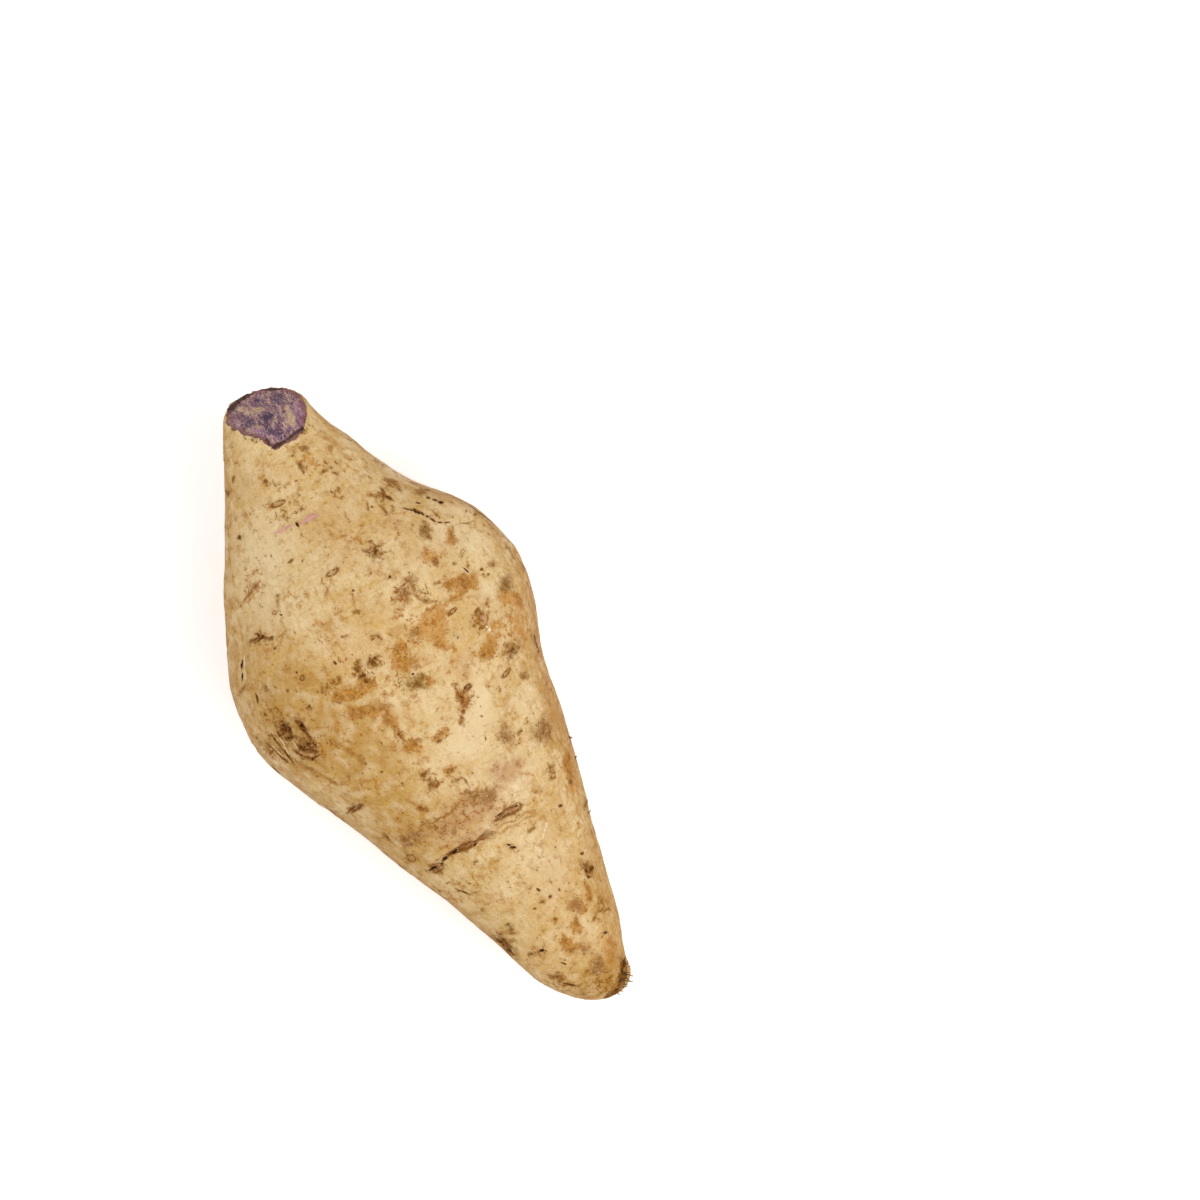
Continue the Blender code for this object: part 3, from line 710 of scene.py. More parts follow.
class Wire:
    """A value on its way through a material, which Python's arithmetic works on."""

    def __init__(self, graph: "Graph", node: bpy.types.Node, output: int | str) -> None:
        """Keeps the node and which of its outputs is meant.

        Args:
            graph: The material's graph.
            node: The node that makes the value.
            output: The node's output, by place or name.
        """
        self.graph = graph
        self.node = node
        self.socket = node.outputs[output]

    def out(self, output: int | str) -> "Wire":
        """Another output of the same node."""
        return Wire(self.graph, self.node, output)

    def _join(self, operation: str, *values: "Value") -> "Wire":
        """The result of one Math node."""
        return self.graph.add("ShaderNodeMath", {"operation": operation}, dict(enumerate(values)))

    def __add__(self, other: "Value") -> "Wire":
        """The sum."""
        return self._join("ADD", self, other)

    def __radd__(self, other: "Value") -> "Wire":
        """The sum, with this value last."""
        return self._join("ADD", other, self)

    def __sub__(self, other: "Value") -> "Wire":
        """The difference."""
        return self._join("SUBTRACT", self, other)

    def __rsub__(self, other: "Value") -> "Wire":
        """The difference, with this value last."""
        return self._join("SUBTRACT", other, self)

    def __mul__(self, other: "Value") -> "Wire":
        """The product."""
        return self._join("MULTIPLY", self, other)

    def __rmul__(self, other: "Value") -> "Wire":
        """The product, with this value last."""
        return self._join("MULTIPLY", other, self)

    def __truediv__(self, other: "Value") -> "Wire":
        """The quotient."""
        return self._join("DIVIDE", self, other)

    def __pow__(self, other: "Value") -> "Wire":
        """The power."""
        return self._join("POWER", self, other)

    def __abs__(self) -> "Wire":
        """The size without its sign."""
        return self._join("ABSOLUTE", self)

    def at_most(self, other: "Value") -> "Wire":
        """The smaller of the two."""
        return self._join("MINIMUM", self, other)

    def step(self, start: float, end: float) -> "Wire":
        """A smooth step from 0 at start to 1 at end, or down to 0 where end is the smaller.

        Args:
            start: The value at which the step is 0.
            end: The value at which it is 1.

        Returns:
            The step, from 0 to 1.
        """
        low, high = min(start, end), max(start, end)
        rising = self.graph.add(
            "ShaderNodeMapRange",
            {"interpolation_type": "SMOOTHSTEP"},
            {"Value": self, "From Min": low, "From Max": high},
        )
        return rising if end > start else 1 - rising


Value = Wire | float | tuple[float, ...]


class Graph:
    """The nodes of one material."""

    def __init__(self, name: str) -> None:
        """Starts a material with a plain surface.

        Args:
            name: The material's name.
        """
        self.material = bpy.data.materials.new(name)
        self.material.use_nodes = True
        self.tree = self.material.node_tree
        self.surface = self.tree.nodes["Principled BSDF"]

    def add(
        self,
        kind: str,
        settings: dict[str, object] | None = None,
        inputs: dict[int | str, Value] | None = None,
        output: int | str = 0,
    ) -> Wire:
        """Adds a node.

        Args:
            kind: The node's type.
            settings: Its settings, which are set first.
            inputs: The value or wire of each input, by place or name.
            output: The output that is wanted, by place or name.

        Returns:
            The wanted output.
        """
        node = self.tree.nodes.new(kind)
        for name, setting in (settings or {}).items():
            setattr(node, name, setting)
        for key, value in (inputs or {}).items():
            self.feed(node.inputs[key], value)
        return Wire(self, node, output)

    def feed(self, socket: bpy.types.NodeSocket, value: Value) -> None:
        """Links a wire to a socket, or sets the socket's own value."""
        if isinstance(value, Wire):
            self.tree.links.new(value.socket, socket)
        else:
            socket.default_value = value

    def dress(self, **inputs: Value) -> bpy.types.Material:
        """Sets the surface's inputs, whose names have low lines for spaces.

        Args:
            inputs: The value or wire of each input.

        Returns:
            The finished material.
        """
        for name, value in inputs.items():
            self.feed(self.surface.inputs[name.replace("_", " ")], value)
        return self.material

    def place(self) -> Wire:
        """The place on the piece, in millimetres."""
        spot = self.add("ShaderNodeTexCoord", output="Object")
        return self.add("ShaderNodeVectorMath", {"operation": "SCALE"}, {0: spot, "Scale": 1 / MM})

    def read(self, name: str, output: str = "Fac") -> Wire:
        """A map of the piece, by its name."""
        return self.add("ShaderNodeAttribute", {"attribute_name": name}, output=output)

    def parts(self, vector: Wire) -> tuple[Wire, Wire, Wire]:
        """The three numbers of a vector."""
        split = self.add("ShaderNodeSeparateXYZ", inputs={0: vector})
        return split, split.out(1), split.out(2)

    def stretched(self, vector: Wire, sizes: tuple[float, float, float], shift: float = 0.0) -> Wire:
        """A vector divided by a size along each axis, then shifted.

        Args:
            vector: The vector, in millimetres.
            sizes: The size along each axis, in millimetres.
            shift: What is added to each number.

        Returns:
            The new vector.
        """
        factors = tuple(1 / size for size in sizes)
        inputs = {0: vector, 1: factors, 2: (shift, shift, shift)}
        return self.add("ShaderNodeVectorMath", {"operation": "MULTIPLY_ADD"}, inputs)

    def along(self, vector: Wire, direction: Vector) -> Wire:
        """How far a vector reaches in a direction."""
        inputs = {0: vector, 1: direction}
        return self.add("ShaderNodeVectorMath", {"operation": "DOT_PRODUCT"}, inputs, "Value")

    def clouds(
        self,
        vector: Wire,
        size: float | tuple[float, float, float],
        detail: float = 3.0,
        roughness: float = 0.55,
        distortion: float = 0.0,
        shift: float = 0.0,
    ) -> Wire:
        """Soft noise from 0 to 1, about 0.5 in the mean.

        Args:
            vector: The place, in millimetres.
            size: The size of the clouds, in millimetres, alike or along each axis.
            detail: How many finer layers they have.
            roughness: How strong the finer layers are.
            distortion: How much they curl.
            shift: A number that tells one pattern from the next.

        Returns:
            The noise.
        """
        sizes = size if isinstance(size, tuple) else (size, size, size)
        return self.add(
            "ShaderNodeTexNoise",
            inputs={
                "Vector": self.stretched(vector, sizes, shift),
                "Scale": 1.0,
                "Detail": detail,
                "Roughness": roughness,
                "Distortion": distortion,
            },
        )

    def mix(self, share: Value, first: Value, second: Value, blend: str = "MIX") -> Wire:
        """One colour blended into another.

        Args:
            share: How much of the second shows.
            first: The colour below.
            second: The colour above.
            blend: How they blend.

        Returns:
            The blended colour.
        """
        return self.add(
            "ShaderNodeMix",
            {"data_type": "RGBA", "blend_type": blend, "clamp_factor": True},
            {0: share, 6: first, 7: second},
            output=2,
        )

    def paint(self, below: Value, *layers: tuple[Value, Value]) -> Value:
        """Lays colours one over another.

        Args:
            below: The colour below them all.
            layers: How much of each colour shows, and the colour.

        Returns:
            The blended colour.
        """
        for share, tint in layers:
            below = self.mix(share, below, tint)
        return below

    def bump(self, height: Wire) -> Wire:
        """The surface's direction where a height in millimetres roughens it."""
        return self.add("ShaderNodeBump", inputs={"Strength": 1.0, "Distance": MM, "Height": height})


class Stretch(Enum):
    """The stretches of the root whose finishes differ in what they need, in the order of their slots."""

    CLEAR = "root_skin_clear"
    MARKED = "root_skin_marked"
    CUT = "root_skin_cut"


@dataclass(frozen=True)
class RootFinish:
    """The finish of the whole root: its thin skin, its blemishes, and the purple flesh where it is cut.

    Attributes:
        camera: The camera, from whose right-hand side the tilt of the flesh's veins is counted.
        vein_tilt: That tilt, in degrees anticlockwise.

    The other attributes are colours, each named for what it tints.
    """

    camera: PhotoCamera
    vein_tilt: float = -60.0
    cream: Colour = colour(224, 193, 140)
    tan: Colour = colour(212, 174, 116)
    straw: Colour = colour(208, 168, 90)
    gold: Colour = colour(186, 140, 68)
    pale: Colour = colour(236, 211, 168)
    ochre: Colour = colour(190, 128, 50)
    rust: Colour = colour(152, 84, 26)
    haze: Colour = colour(174, 124, 58)
    brown: Colour = colour(132, 79, 20)
    olive: Colour = colour(144, 112, 54)
    moss: Colour = colour(90, 62, 18)
    mauve: Colour = colour(186, 139, 100)
    streak: Colour = colour(176, 124, 56)
    line: Colour = colour(68, 31, 1)
    pit: Colour = colour(34, 14, 1)
    flesh: Colour = colour(170, 130, 120)
    flesh_deep: Colour = colour(50, 40, 78)
    flesh_violet: Colour = colour(114, 78, 98)
    flesh_lilac: Colour = colour(150, 106, 134)
    flesh_cream: Colour = colour(204, 172, 130)
    flesh_white: Colour = colour(226, 202, 188)
    flesh_ring: Colour = colour(134, 82, 80)
    flesh_dark: Colour = colour(54, 34, 18)
    skin_edge: Colour = colour(84, 66, 48)

    def materials(self) -> list[bpy.types.Material]:
        """The finish of every stretch, in the order of their slots."""
        return [self._material(stretch) for stretch in Stretch]

    def _material(self, stretch: Stretch) -> bpy.types.Material:
        """Builds the finish of one stretch.

        Args:
            stretch: The stretch.

        Returns:
            The material.
        """
        graph = Graph(stretch.value)
        place = graph.place()
        small = graph.clouds(place, 1.4, 4.0, 0.66, 0.3, shift=13.0)
        fine = graph.clouds(place, 0.42, 2.0, 0.6, shift=19.0)
        base = self._stains_and_painted_light(graph, self._ground(graph, place, small, fine), small, fine)
        height = small * 0.16 + fine * 0.1
        roughness = 0.5 + (small - 0.5) * 0.5
        if stretch is not Stretch.CLEAR:
            base, mark_relief, mark_share = self._marks(graph, place, base, small, fine)
            height = height + mark_relief
            roughness = roughness + mark_share * 0.18
        if stretch is Stretch.CUT:
            cut = (graph.read("rim") + (small - 0.5) * 1.3 + (fine - 0.5) * 0.7).step(0.02, 0.16)
            base = graph.mix(cut, base, self._flesh(graph, place, fine))
            roughness = roughness + cut * 0.1
        return graph.dress(
            Base_Color=base, Roughness=roughness, Normal=graph.bump(height), Specular_IOR_Level=0.05
        )

    def _ground(self, graph: Graph, place: Wire, small: Wire, fine: Wire) -> Wire:
        """The skin's colour: cream, with soft bands round the root and freckles, and gold that also carries
        painted flank shade.

        Args:
            graph: The material's graph.
            place: The place on the root.
            small: Noise of one to two millimetres.
            fine: Noise of under half a millimetre.

        Returns:
            The colour.
        """
        grain = graph.read("grain", "Vector")
        broad = graph.clouds(place, 14.0, 2.0, 0.5, 0.3)
        mid = graph.clouds(place, 3.6, 3.0, 0.55, 0.3, shift=7.0).out("Color")
        patches, bright, dirty = graph.parts(mid)
        bands = graph.clouds(grain, (1.9, 9.0, 9.0), 4.0, 0.66, 0.4, shift=23.0)
        along = graph.clouds(grain, (9.0, 0.8, 0.8), 3.0, 0.6, shift=3.0)
        # the gold map holds golden stains and the painted shade of the flanks
        gold = graph.read(Tone.GOLD.value) + (patches - 0.5) * 0.6 + (small - 0.5) * 0.5
        freckles = (small + (dirty - 0.5) * 1.3 + (fine - 0.5) * 0.6).step(0.56, 0.82)
        specks = (fine + (dirty - 0.5) * 1.1 + (small - 0.5) * 0.9).step(0.71, 0.84)
        base = graph.paint(
            self.cream,
            (broad.step(0.38, 0.62), self.tan),
            (gold.step(0.1, 0.95) * 0.85, self.gold),
            (bright.step(0.42, 0.68) * 0.42, self.pale),
            ((bands + (small - 0.5) * 0.4).step(0.5, 0.68) * 0.5, self.straw),
            ((patches + (small - 0.5) * 0.8).step(0.52, 0.72) * 0.42, self.haze),
            (along.step(0.53, 0.75) * 0.3, self.streak),
            (freckles * 0.45, self.ochre),
            (specks * 0.5, self.brown),
        )
        shade = 0.6 + fine * 0.76
        grey = graph.add("ShaderNodeCombineColor", inputs={0: shade, 1: shade, 2: shade})
        return graph.mix(1.0, base, grey, "MULTIPLY")

    def _stains_and_painted_light(self, graph: Graph, ground: Wire, small: Wire, fine: Wire) -> Wire:
        """The stains over the skin's colour, each a soft haze with crumbs in it, with painted shade and
        painted highlight among them.

        Args:
            graph: The material's graph.
            ground: The colour below.
            small: Noise of one to two millimetres.
            fine: Noise of under half a millimetre.

        Returns:
            The colour.
        """
        grain = graph.read("grain", "Vector")
        fibres = graph.clouds(grain, (4.5, 0.4, 0.4), 3.0, 0.65, 0.3, shift=61.0)
        broken = (small - 0.5) * 2.4 + (fine - 0.5) * 1.8

        def haze(tone: Tone, start: float = 0.12, end: float = 0.9) -> Wire:
            """The soft part of one tone."""
            return (graph.read(tone.value) + broken * 0.75).step(start, end)

        def crumbs(tone: Tone, start: float = 0.62, end: float = 0.92) -> Wire:
            """The crumbs in one tone."""
            return (graph.read(tone.value) + broken * 1.3).step(start, end)

        def border(tone: Tone, level: float) -> Wire:
            """The thin dried edge of one tone, broken up."""
            edge = abs(graph.read(tone.value) + broken * 0.8 - level).step(0.11, 0.02)
            return edge * (small + fine).step(0.9, 1.15)

        streaks = graph.read(Tone.STREAK.value) + (fibres - 0.5) * 2.8 + (small - 0.5) * 1.0
        bright_ochre = (graph.read(Tone.OCHRE.value) - broken * 1.6).step(0.95, 1.5)
        hollow = graph.read("hollow") + broken * 0.3
        return graph.paint(
            ground,
            # painted highlight: the pale map lightens the top where it catches the light, as well as paler
            # skin
            (graph.read(Tone.PALE.value).step(0.05, 0.95) * 0.6, self.pale),
            # painted shade along the flanks through the streak map, with real lengthwise streaks
            (streaks.step(0.35, 1.05) * 0.72, self.streak),
            (haze(Tone.MAUVE) * 0.66, self.mauve),
            (haze(Tone.OCHRE, 0.3, 0.7) * 0.7, self.ochre),
            (crumbs(Tone.OCHRE, 0.95, 1.35) * 0.5, self.rust),
            (bright_ochre * 0.4, self.straw),
            (border(Tone.OCHRE, 0.55) * 0.65, self.rust),
            # the brown map carries painted flank shade and a painted shadow line on the shoulder, as well as
            # brown stains
            (haze(Tone.BROWN, 0.2, 0.9) * 0.5, self.haze),
            (border(Tone.BROWN, 0.5) * 0.5, self.brown),
            (crumbs(Tone.BROWN) * 0.76, self.brown),
            (haze(Tone.OLIVE, 0.2, 0.8) * 0.6, self.olive),
            (crumbs(Tone.OLIVE, 0.7, 1.0) * 0.55, self.moss),
            (hollow.step(0.3, 0.9) * 0.35, self.brown),
        )

    def _marks(
        self, graph: Graph, place: Wire, below: Wire, small: Wire, fine: Wire
    ) -> tuple[Wire, Wire, Wire]:
        """The sharp blemishes: rings, slits, scabs and spots.

        Args:
            graph: The material's graph.
            place: The place on the root.
            below: The colour below.
            small: Noise of one to two millimetres.
            fine: Noise of under half a millimetre.

        Returns:
            The colour, the height in millimetres, and how much of a blemish there is.
        """
        spot = graph.read("mark_place", "Vector")
        along, across, _ = graph.parts(spot)
        length, width, crumbs = graph.parts(graph.read("mark_size", "Vector"))
        look = graph.read("mark_look", "Color")
        fill, ring, core = graph.parts(look)
        hatch = look.out("Alpha")
        tint = graph.read("mark_tint", "Color")
        ragged = tint.out("Alpha")
        plain = ((along / length) ** 2.0 + (across / width) ** 2.0) ** 0.5
        broken = (small - 0.5) * 2.4 + (fine - 0.5) * 1.6
        away = plain + broken * ragged
        fibres = graph.clouds(spot, (1.5, 0.4, 1.0), 2.0, 0.65, 0.5)
        chips = graph.clouds(place, 0.95, 3.0, 0.75, 0.6, shift=81.0)
        crumbly = (chips - 0.5) * 3.6 + (fine - 0.5) * 1.2
        inside = away.step(1.2, 0.65)
        halo = (plain - broken * 0.5).step(2.1, 0.6) * (fill + crumbs).at_most(1.0)
        level = 0.75 - plain * 0.6 + crumbly
        crumbled = level.step(0.12, 0.6) * crumbs
        darkest = (level + crumbs * 0.5).step(1.0, 1.42) * crumbs
        ringed = (abs(away - 0.85) * width).step(0.24, 0.09) * ring
        ringed = ringed * (small + (fine - 0.5)).step(0.36, 0.5)
        cored = (0.75 - plain + crumbly * 0.5).step(0.0, 0.3) * core
        pale = inside * hatch * (fibres + (fine - 0.5) * 0.6).step(0.5, 0.6)
        result = graph.paint(
            below,
            (halo * 0.3, self.haze),
            (inside * fill, tint),
            (pale * 0.82, self.cream),
            (crumbled * 0.92, self.brown),
            (darkest * 0.95, self.line),
            (ringed * 0.9, self.brown),
            (cored, self.pit),
        )
        height = ringed * 0.1 - cored * 0.12 - crumbled * 0.1
        return result, height, inside * (fill + crumbs).at_most(1.0)

    def _flesh(self, graph: Graph, place: Wire, fine: Wire) -> Wire:
        """The cut flesh: violet spots in a pale net that is partly starch and partly painted highlight, and
        a red ring inside the skin.

        Args:
            graph: The material's graph.
            place: The place on the root.
            fine: Noise of under half a millimetre.

        Returns:
            The colour.
        """
        lengthways = graph.along(place, self.camera.heading(self.vein_tilt))
        sideways = graph.along(place, self.camera.heading(self.vein_tilt + 90))
        turned = graph.add("ShaderNodeCombineXYZ", inputs={0: lengthways, 1: sideways, 2: 0.0})
        mottle = graph.clouds(place, 1.5, 4.0, 0.72, 1.0, shift=101.0)
        veins = graph.clouds(turned, (1.5, 0.7, 1.0), 3.0, 0.7, 0.9, shift=107.0)
        streaks = graph.clouds(turned, (3.2, 0.5, 1.0), 3.0, 0.65, 0.3, shift=111.0)
        ragged = (mottle - 0.5) * 2.6 + (fine - 0.5) * 1.2

        def share(tone: FleshTone, start: float, end: float, crumble: float) -> Wire:
            """How much of one tone shows."""
            return (graph.read(tone.value) + ragged * crumble).step(start, end)

        veined = veins + (fine - 0.5) * 0.9
        rim = graph.read("rim") + (mottle - 0.5) * 2.2
        edge = graph.read("rim") + (mottle - 0.5) * 1.6
        return graph.paint(
            self.flesh,
            (mottle.step(0.6, 0.42), self.flesh_violet),
            ((fine + mottle - 0.5).step(0.46, 0.36) * 0.3, self.flesh_deep),
            (share(FleshTone.LILAC, 0.25, 0.75, 0.25) * 0.9, self.flesh_lilac),
            (streaks.step(0.51, 0.62) * 0.32, self.flesh_cream),
            (streaks.step(0.48, 0.4) * 0.45, self.flesh_violet),
            (share(FleshTone.DEEP, 0.3, 0.95, 0.7) * 0.85, self.flesh_deep),
            (share(FleshTone.CREAM, 0.35, 0.85, 0.7) * 0.8, self.flesh_cream),
            # painted highlight: the whitest net stands partly for glints on the wet cut, partly for starch
            (veined.step(0.54, 0.66) * 0.42, self.flesh_white),
            (veined.step(0.43, 0.34) * 0.36, self.flesh_deep),
            (abs(rim - 0.6).step(0.8, 0.1) * 0.7, self.flesh_ring),
            (edge.step(0.42, 0.1) * 0.8, self.skin_edge),
            (share(FleshTone.DARK, 0.3, 0.75, 1.1) * 0.85, self.flesh_dark),
        )


@dataclass(frozen=True)
class FibreFinish:
    """The finish of dry rootlets and shreds of skin."""

    straw: Colour = colour(160, 118, 66)
    bark: Colour = colour(76, 48, 22)

    def material(self) -> bpy.types.Material:
        """Builds the finish.

        Returns:
            The material.
        """
        graph = Graph("dry_fibre")
        place = graph.place()
        blotches = graph.clouds(place, 1.2, 3.0, 0.6)
        threads = graph.clouds(place, 0.18, 2.0, 0.6, shift=3.0)
        base = graph.mix(blotches.step(0.36, 0.66), self.bark, self.straw)
        return graph.dress(
            Base_Color=base,
            Roughness=0.7 + threads * 0.15,
            Normal=graph.bump(threads * 0.05 + blotches * 0.05),
            Specular_IOR_Level=0.3,
        )


@dataclass(frozen=True)
class FloorFinish:
    """The finish of the pale table, which glows a little as a lit white sheet does."""

    white: Colour = (0.93, 0.93, 0.925, 1.0)
    glow: float = 0.4

    def material(self) -> bpy.types.Material:
        """Builds the finish."""
        dress = Graph("white_table").dress
        return dress(
            Base_Color=self.white, Roughness=0.85, Emission_Color=self.white, Emission_Strength=self.glow
        )


# A point further than this above or below a blemish's own plane is on another side of the root.
SAME_SIDE = 5.0 * MM
# The flesh's finish reaches this far out from the edge of the cut, in millimetres.
CUT_BORDER = -1.6
# How ragged the outline of a stain is, as a blemish's look says it.
STAIN_RAGGED = 0.8


@dataclass(frozen=True)
class Placed:
    """A blemish or a stain where it sits on the skin.

    Attributes:
        centre: Its middle.
        drift: How far outlines stray at its middle.
        give: How much its outline strays with them, from 0 to 1.
        axes: Three rows that turn an offset in metres into half lengths along, half widths across and
            metres off.
        half_length: Half its length, in millimetres.
        half_width: Half its width, in millimetres.
        seed: A number of its own, which varies its pattern.
    """

    centre: np.ndarray
    drift: np.ndarray
    give: float
    axes: np.ndarray
    half_length: float
    half_width: float
    seed: float

    def measure(self, points: np.ndarray, drift: np.ndarray) -> tuple[np.ndarray, np.ndarray, np.ndarray]:
        """How far along and across each point is, in half sizes, and how far off the skin, in metres."""
        local = (points - self.centre + self.give * (drift - self.drift)) @ self.axes.T
        return local[:, 0], local[:, 1], local[:, 2]

    def distance(self, points: np.ndarray, drift: np.ndarray, reach: float) -> np.ndarray:
        """The distance from the middle in half sizes, which is the reach on another side of the root.

        Args:
            points: The points, in metres.
            drift: How far outlines stray at each point, in metres.
            reach: The largest distance that matters.

        Returns:
            The distance of each point.
        """
        along, across, off = self.measure(points, drift)
        near = np.abs(off) < SAME_SIDE
        return np.where(near, np.minimum(np.hypot(along, across), reach), reach)


def give_of(ragged: float, half_width: float) -> float:
    """The share of the full way that an outline strays: less for a small blemish, to keep its shape."""
    full_size, least_size = 1.8, 0.5
    return min(1.0, ragged * (half_width + least_size) / full_size)


def column(items: bpy.types.bpy_prop_collection, name: str, kind: type, width: int = 1) -> np.ndarray:
    """Reads one property of every item of a mesh.

    Args:
        items: The items, such as the mesh's points.
        name: The property's name.
        kind: The kind of number it holds.
        width: How many numbers it has for each item.

    Returns:
        One number, or one row of numbers, for each item.
    """
    values = np.empty(len(items) * width, kind)
    items.foreach_get(name, values)
    return values if width == 1 else values.reshape(-1, width)


class Skin:
    """The points, normals and faces of the root's mesh, as arrays."""

    def __init__(self, piece: bpy.types.Object) -> None:
        """Reads the mesh.

        Args:
            piece: The root.
        """
        self.mesh = piece.data
        self.points = column(self.mesh.vertices, "co", np.float32, 3).astype(float)
        self.normals = column(self.mesh.vertex_normals, "vector", np.float32, 3).astype(float)
        self.face_centres = column(self.mesh.polygons, "center", np.float32, 3).astype(float)
        self.drift = drift_of(self.points)
        self.face_drift = drift_of(self.face_centres)

    @property
    def in_mm(self) -> np.ndarray:
        """The points, in millimetres."""
        return self.points / MM

    def edges(self) -> np.ndarray:
        """The two points of each edge, by number."""
        return column(self.mesh.edges, "vertices", np.int32, 2)

    def corners(self) -> tuple[np.ndarray, np.ndarray]:
        """The point and the face of each face corner, by number."""
        totals = column(self.mesh.polygons, "loop_total", np.int32)
        return column(self.mesh.loops, "vertex_index", np.int32), np.repeat(np.arange(len(totals)), totals)

    def move(self, points: np.ndarray) -> None:
        """Puts the mesh's points at new places."""
        self.points = points
        self.mesh.vertices.foreach_set("co", points.astype(np.float32).ravel())
        self.mesh.update()

    def store(self, name: str, values: np.ndarray) -> None:
        """Keeps a map on the mesh: a number, a vector or a colour for each point or each face corner.

        Args:
            name: The map's name.
            values: Its values, whose shape tells which of these it is.
        """
        kinds = {1: ("FLOAT", "value"), 3: ("FLOAT_VECTOR", "vector"), 4: ("FLOAT_COLOR", "color")}
        kind, field = kinds[values[0].size]
        domain = "POINT" if len(values) == len(self.points) else "CORNER"
        attribute = self.mesh.attributes.new(name, kind, domain)
        attribute.data.foreach_set(field, values.astype(np.float32).ravel())


@dataclass
class RootBody:
    """The root's skin and cut flesh, one closed body that stands for the solid.

    Attributes:
        solid: The solid's node.
        camera: The camera that the photographed places are seen from.
        voxel: Spacing of the even mesh, before the marked places are refined.
        crease: Edges sharper than this stay sharp while the body is smoothed, in degrees.
        lowest: No point lies lower than this.
        quad_bend: Two facets that meet at less than this become one four-sided face, in degrees.
        quad_skew: How far from square such a face may be, in degrees.
        plane_slack: Points this near to a cut face's plane belong to it.
        coarse_look: A blemish whose height, depth and roughness add up to more is refined, in millimetres.
        slice_count: How many slices tell where the root's middle line runs.
        slice_half: Half a slice's thickness, in millimetres.
        roll_radius: Radius of the plain roll that the grain is wound on, in millimetres.
    """

    solid: bpy.types.Object
    camera: PhotoCamera
    voxel: float = 0.67 * MM
    crease: float = 28.0
    lowest: float = 0.02 * MM
    quad_bend: float = 25.0
    quad_skew: float = 50.0
    plane_slack: float = 0.25 * MM
    coarse_look: float = 0.12
    slice_count: int = 48
    slice_half: float = 2.0
    roll_radius: float = 22.0

    def build(self) -> bpy.types.Object:
        """Builds, shapes and dresses the root.

        Returns:
            The root.
        """
        piece = self._copy_solid()
        self._smooth_over(piece)
        self._flatten_cuts(piece)
        marks = self._place_marks(piece)
        stains = self._place_stains(piece, STAINS_AND_PAINTED_LIGHT)
        for tone, hidden in HiddenBlemishes().stain(Skin(piece)).items():
            stains[tone].extend(hidden)
        flesh_stains = self._place_stains(piece, FLESH_STAINS)
        lobes = self._place_stains(piece, {"lobes": TORN_LOBES})["lobes"]
        self._refine(piece, marks)
        skin = Skin(piece)
        grain = self._grain(skin)
        rim = self._rim(skin, (KNIFE_CUT, TORN_CHIP), lobes)
        skin.store("grain", grain)
        skin.store("rim", rim)
        for tones in (stains, flesh_stains):
            for tone, placed in tones.items():
                shares = self._stain_map(skin, placed)
                # painted shade: gold and brown darken the flanks more the further the skin's normal turns
                # from up
                if tone in FLANK_SHADE:
                    strength, start, end = FLANK_SHADE[tone]
                    shares = np.maximum(shares, strength * fade(skin.normals[:, 2], start, end))
                skin.store(tone.value, shares)
        marked = self._mark_maps(skin, marks)
        relief, hollow = self._relief(skin, marks, grain, rim)
        skin.store("hollow", hollow)
        moved = skin.points + skin.normals * (relief * MM)[:, None]
        moved[:, 2] = np.maximum(moved[:, 2], self.lowest)
        skin.move(moved)
        self._dress(piece, skin, marked, rim)
        select_only(piece)
        bpy.ops.object.shade_smooth()
        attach(piece, BODY)
        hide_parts(SOLID_NODE)
        return piece

    def _dress(self, piece: bpy.types.Object, skin: Skin, marked: np.ndarray, rim: np.ndarray) -> None:
        """Gives each face the finish of its stretch.

        Args:
            piece: The root.
            skin: The root's mesh.
            marked: Which faces have a blemish.
            rim: Each point's distance inside the edge of the cut.
        """
        for material in RootFinish(self.camera).materials():
            piece.data.materials.append(material)
        points, faces = skin.corners()
        near_cut = np.zeros(len(skin.face_centres), bool)
        near_cut[faces[rim[points] > CUT_BORDER]] = True
        stretches = list(Stretch)
        slots = np.where(marked, stretches.index(Stretch.MARKED), stretches.index(Stretch.CLEAR))
        slots[near_cut] = stretches.index(Stretch.CUT)
        piece.data.polygons.foreach_set("material_index", slots.astype(np.int32))

    def _copy_solid(self) -> bpy.types.Object:
        """A copy of the solid's mesh as a piece of its own."""
        mesh = self.solid.data.copy()
        mesh.name = "root_skin"
        mesh.materials.clear()
        return new_object("root_skin", mesh)

    def _smooth_over(self, piece: bpy.types.Object) -> None:
        """Rounds the solid's facets off and gives the body an even mesh."""
        select_only(piece)
        bpy.ops.object.mode_set(mode="EDIT")
        bpy.ops.mesh.select_all(action="SELECT")
        bpy.ops.mesh.remove_doubles(threshold=0.005 * MM)
        bpy.ops.mesh.tris_convert_to_quads(
            face_threshold=math.radians(self.quad_bend), shape_threshold=math.radians(self.quad_skew)
        )
        bpy.ops.mesh.select_mode(type="EDGE")
        bpy.ops.mesh.select_all(action="DESELECT")
        bpy.ops.mesh.edges_select_sharp(sharpness=math.radians(self.crease))
        bpy.ops.transform.edge_crease(value=1.0)
        bpy.ops.object.mode_set(mode="OBJECT")
        finish_modifier(piece, "SUBSURF", levels=2, render_levels=2)
        finish_modifier(piece, "REMESH", mode="VOXEL", voxel_size=self.voxel, use_smooth_shade=True)
        finish_modifier(piece, "SMOOTH", factor=0.5, iterations=4)

    def _flatten_cuts(self, piece: bpy.types.Object) -> None:
        """Brings the points of the cut faces back to their planes."""
        skin = Skin(piece)
        points = skin.points.copy()
        for face in FLAT_FACES:
            height = face.height(points)
            facing = skin.normals @ face.normal
            on_face = (np.abs(height) < self.plane_slack) & (facing > 0.97)
            points[on_face] -= height[on_face, None] * face.normal
        skin.move(points)

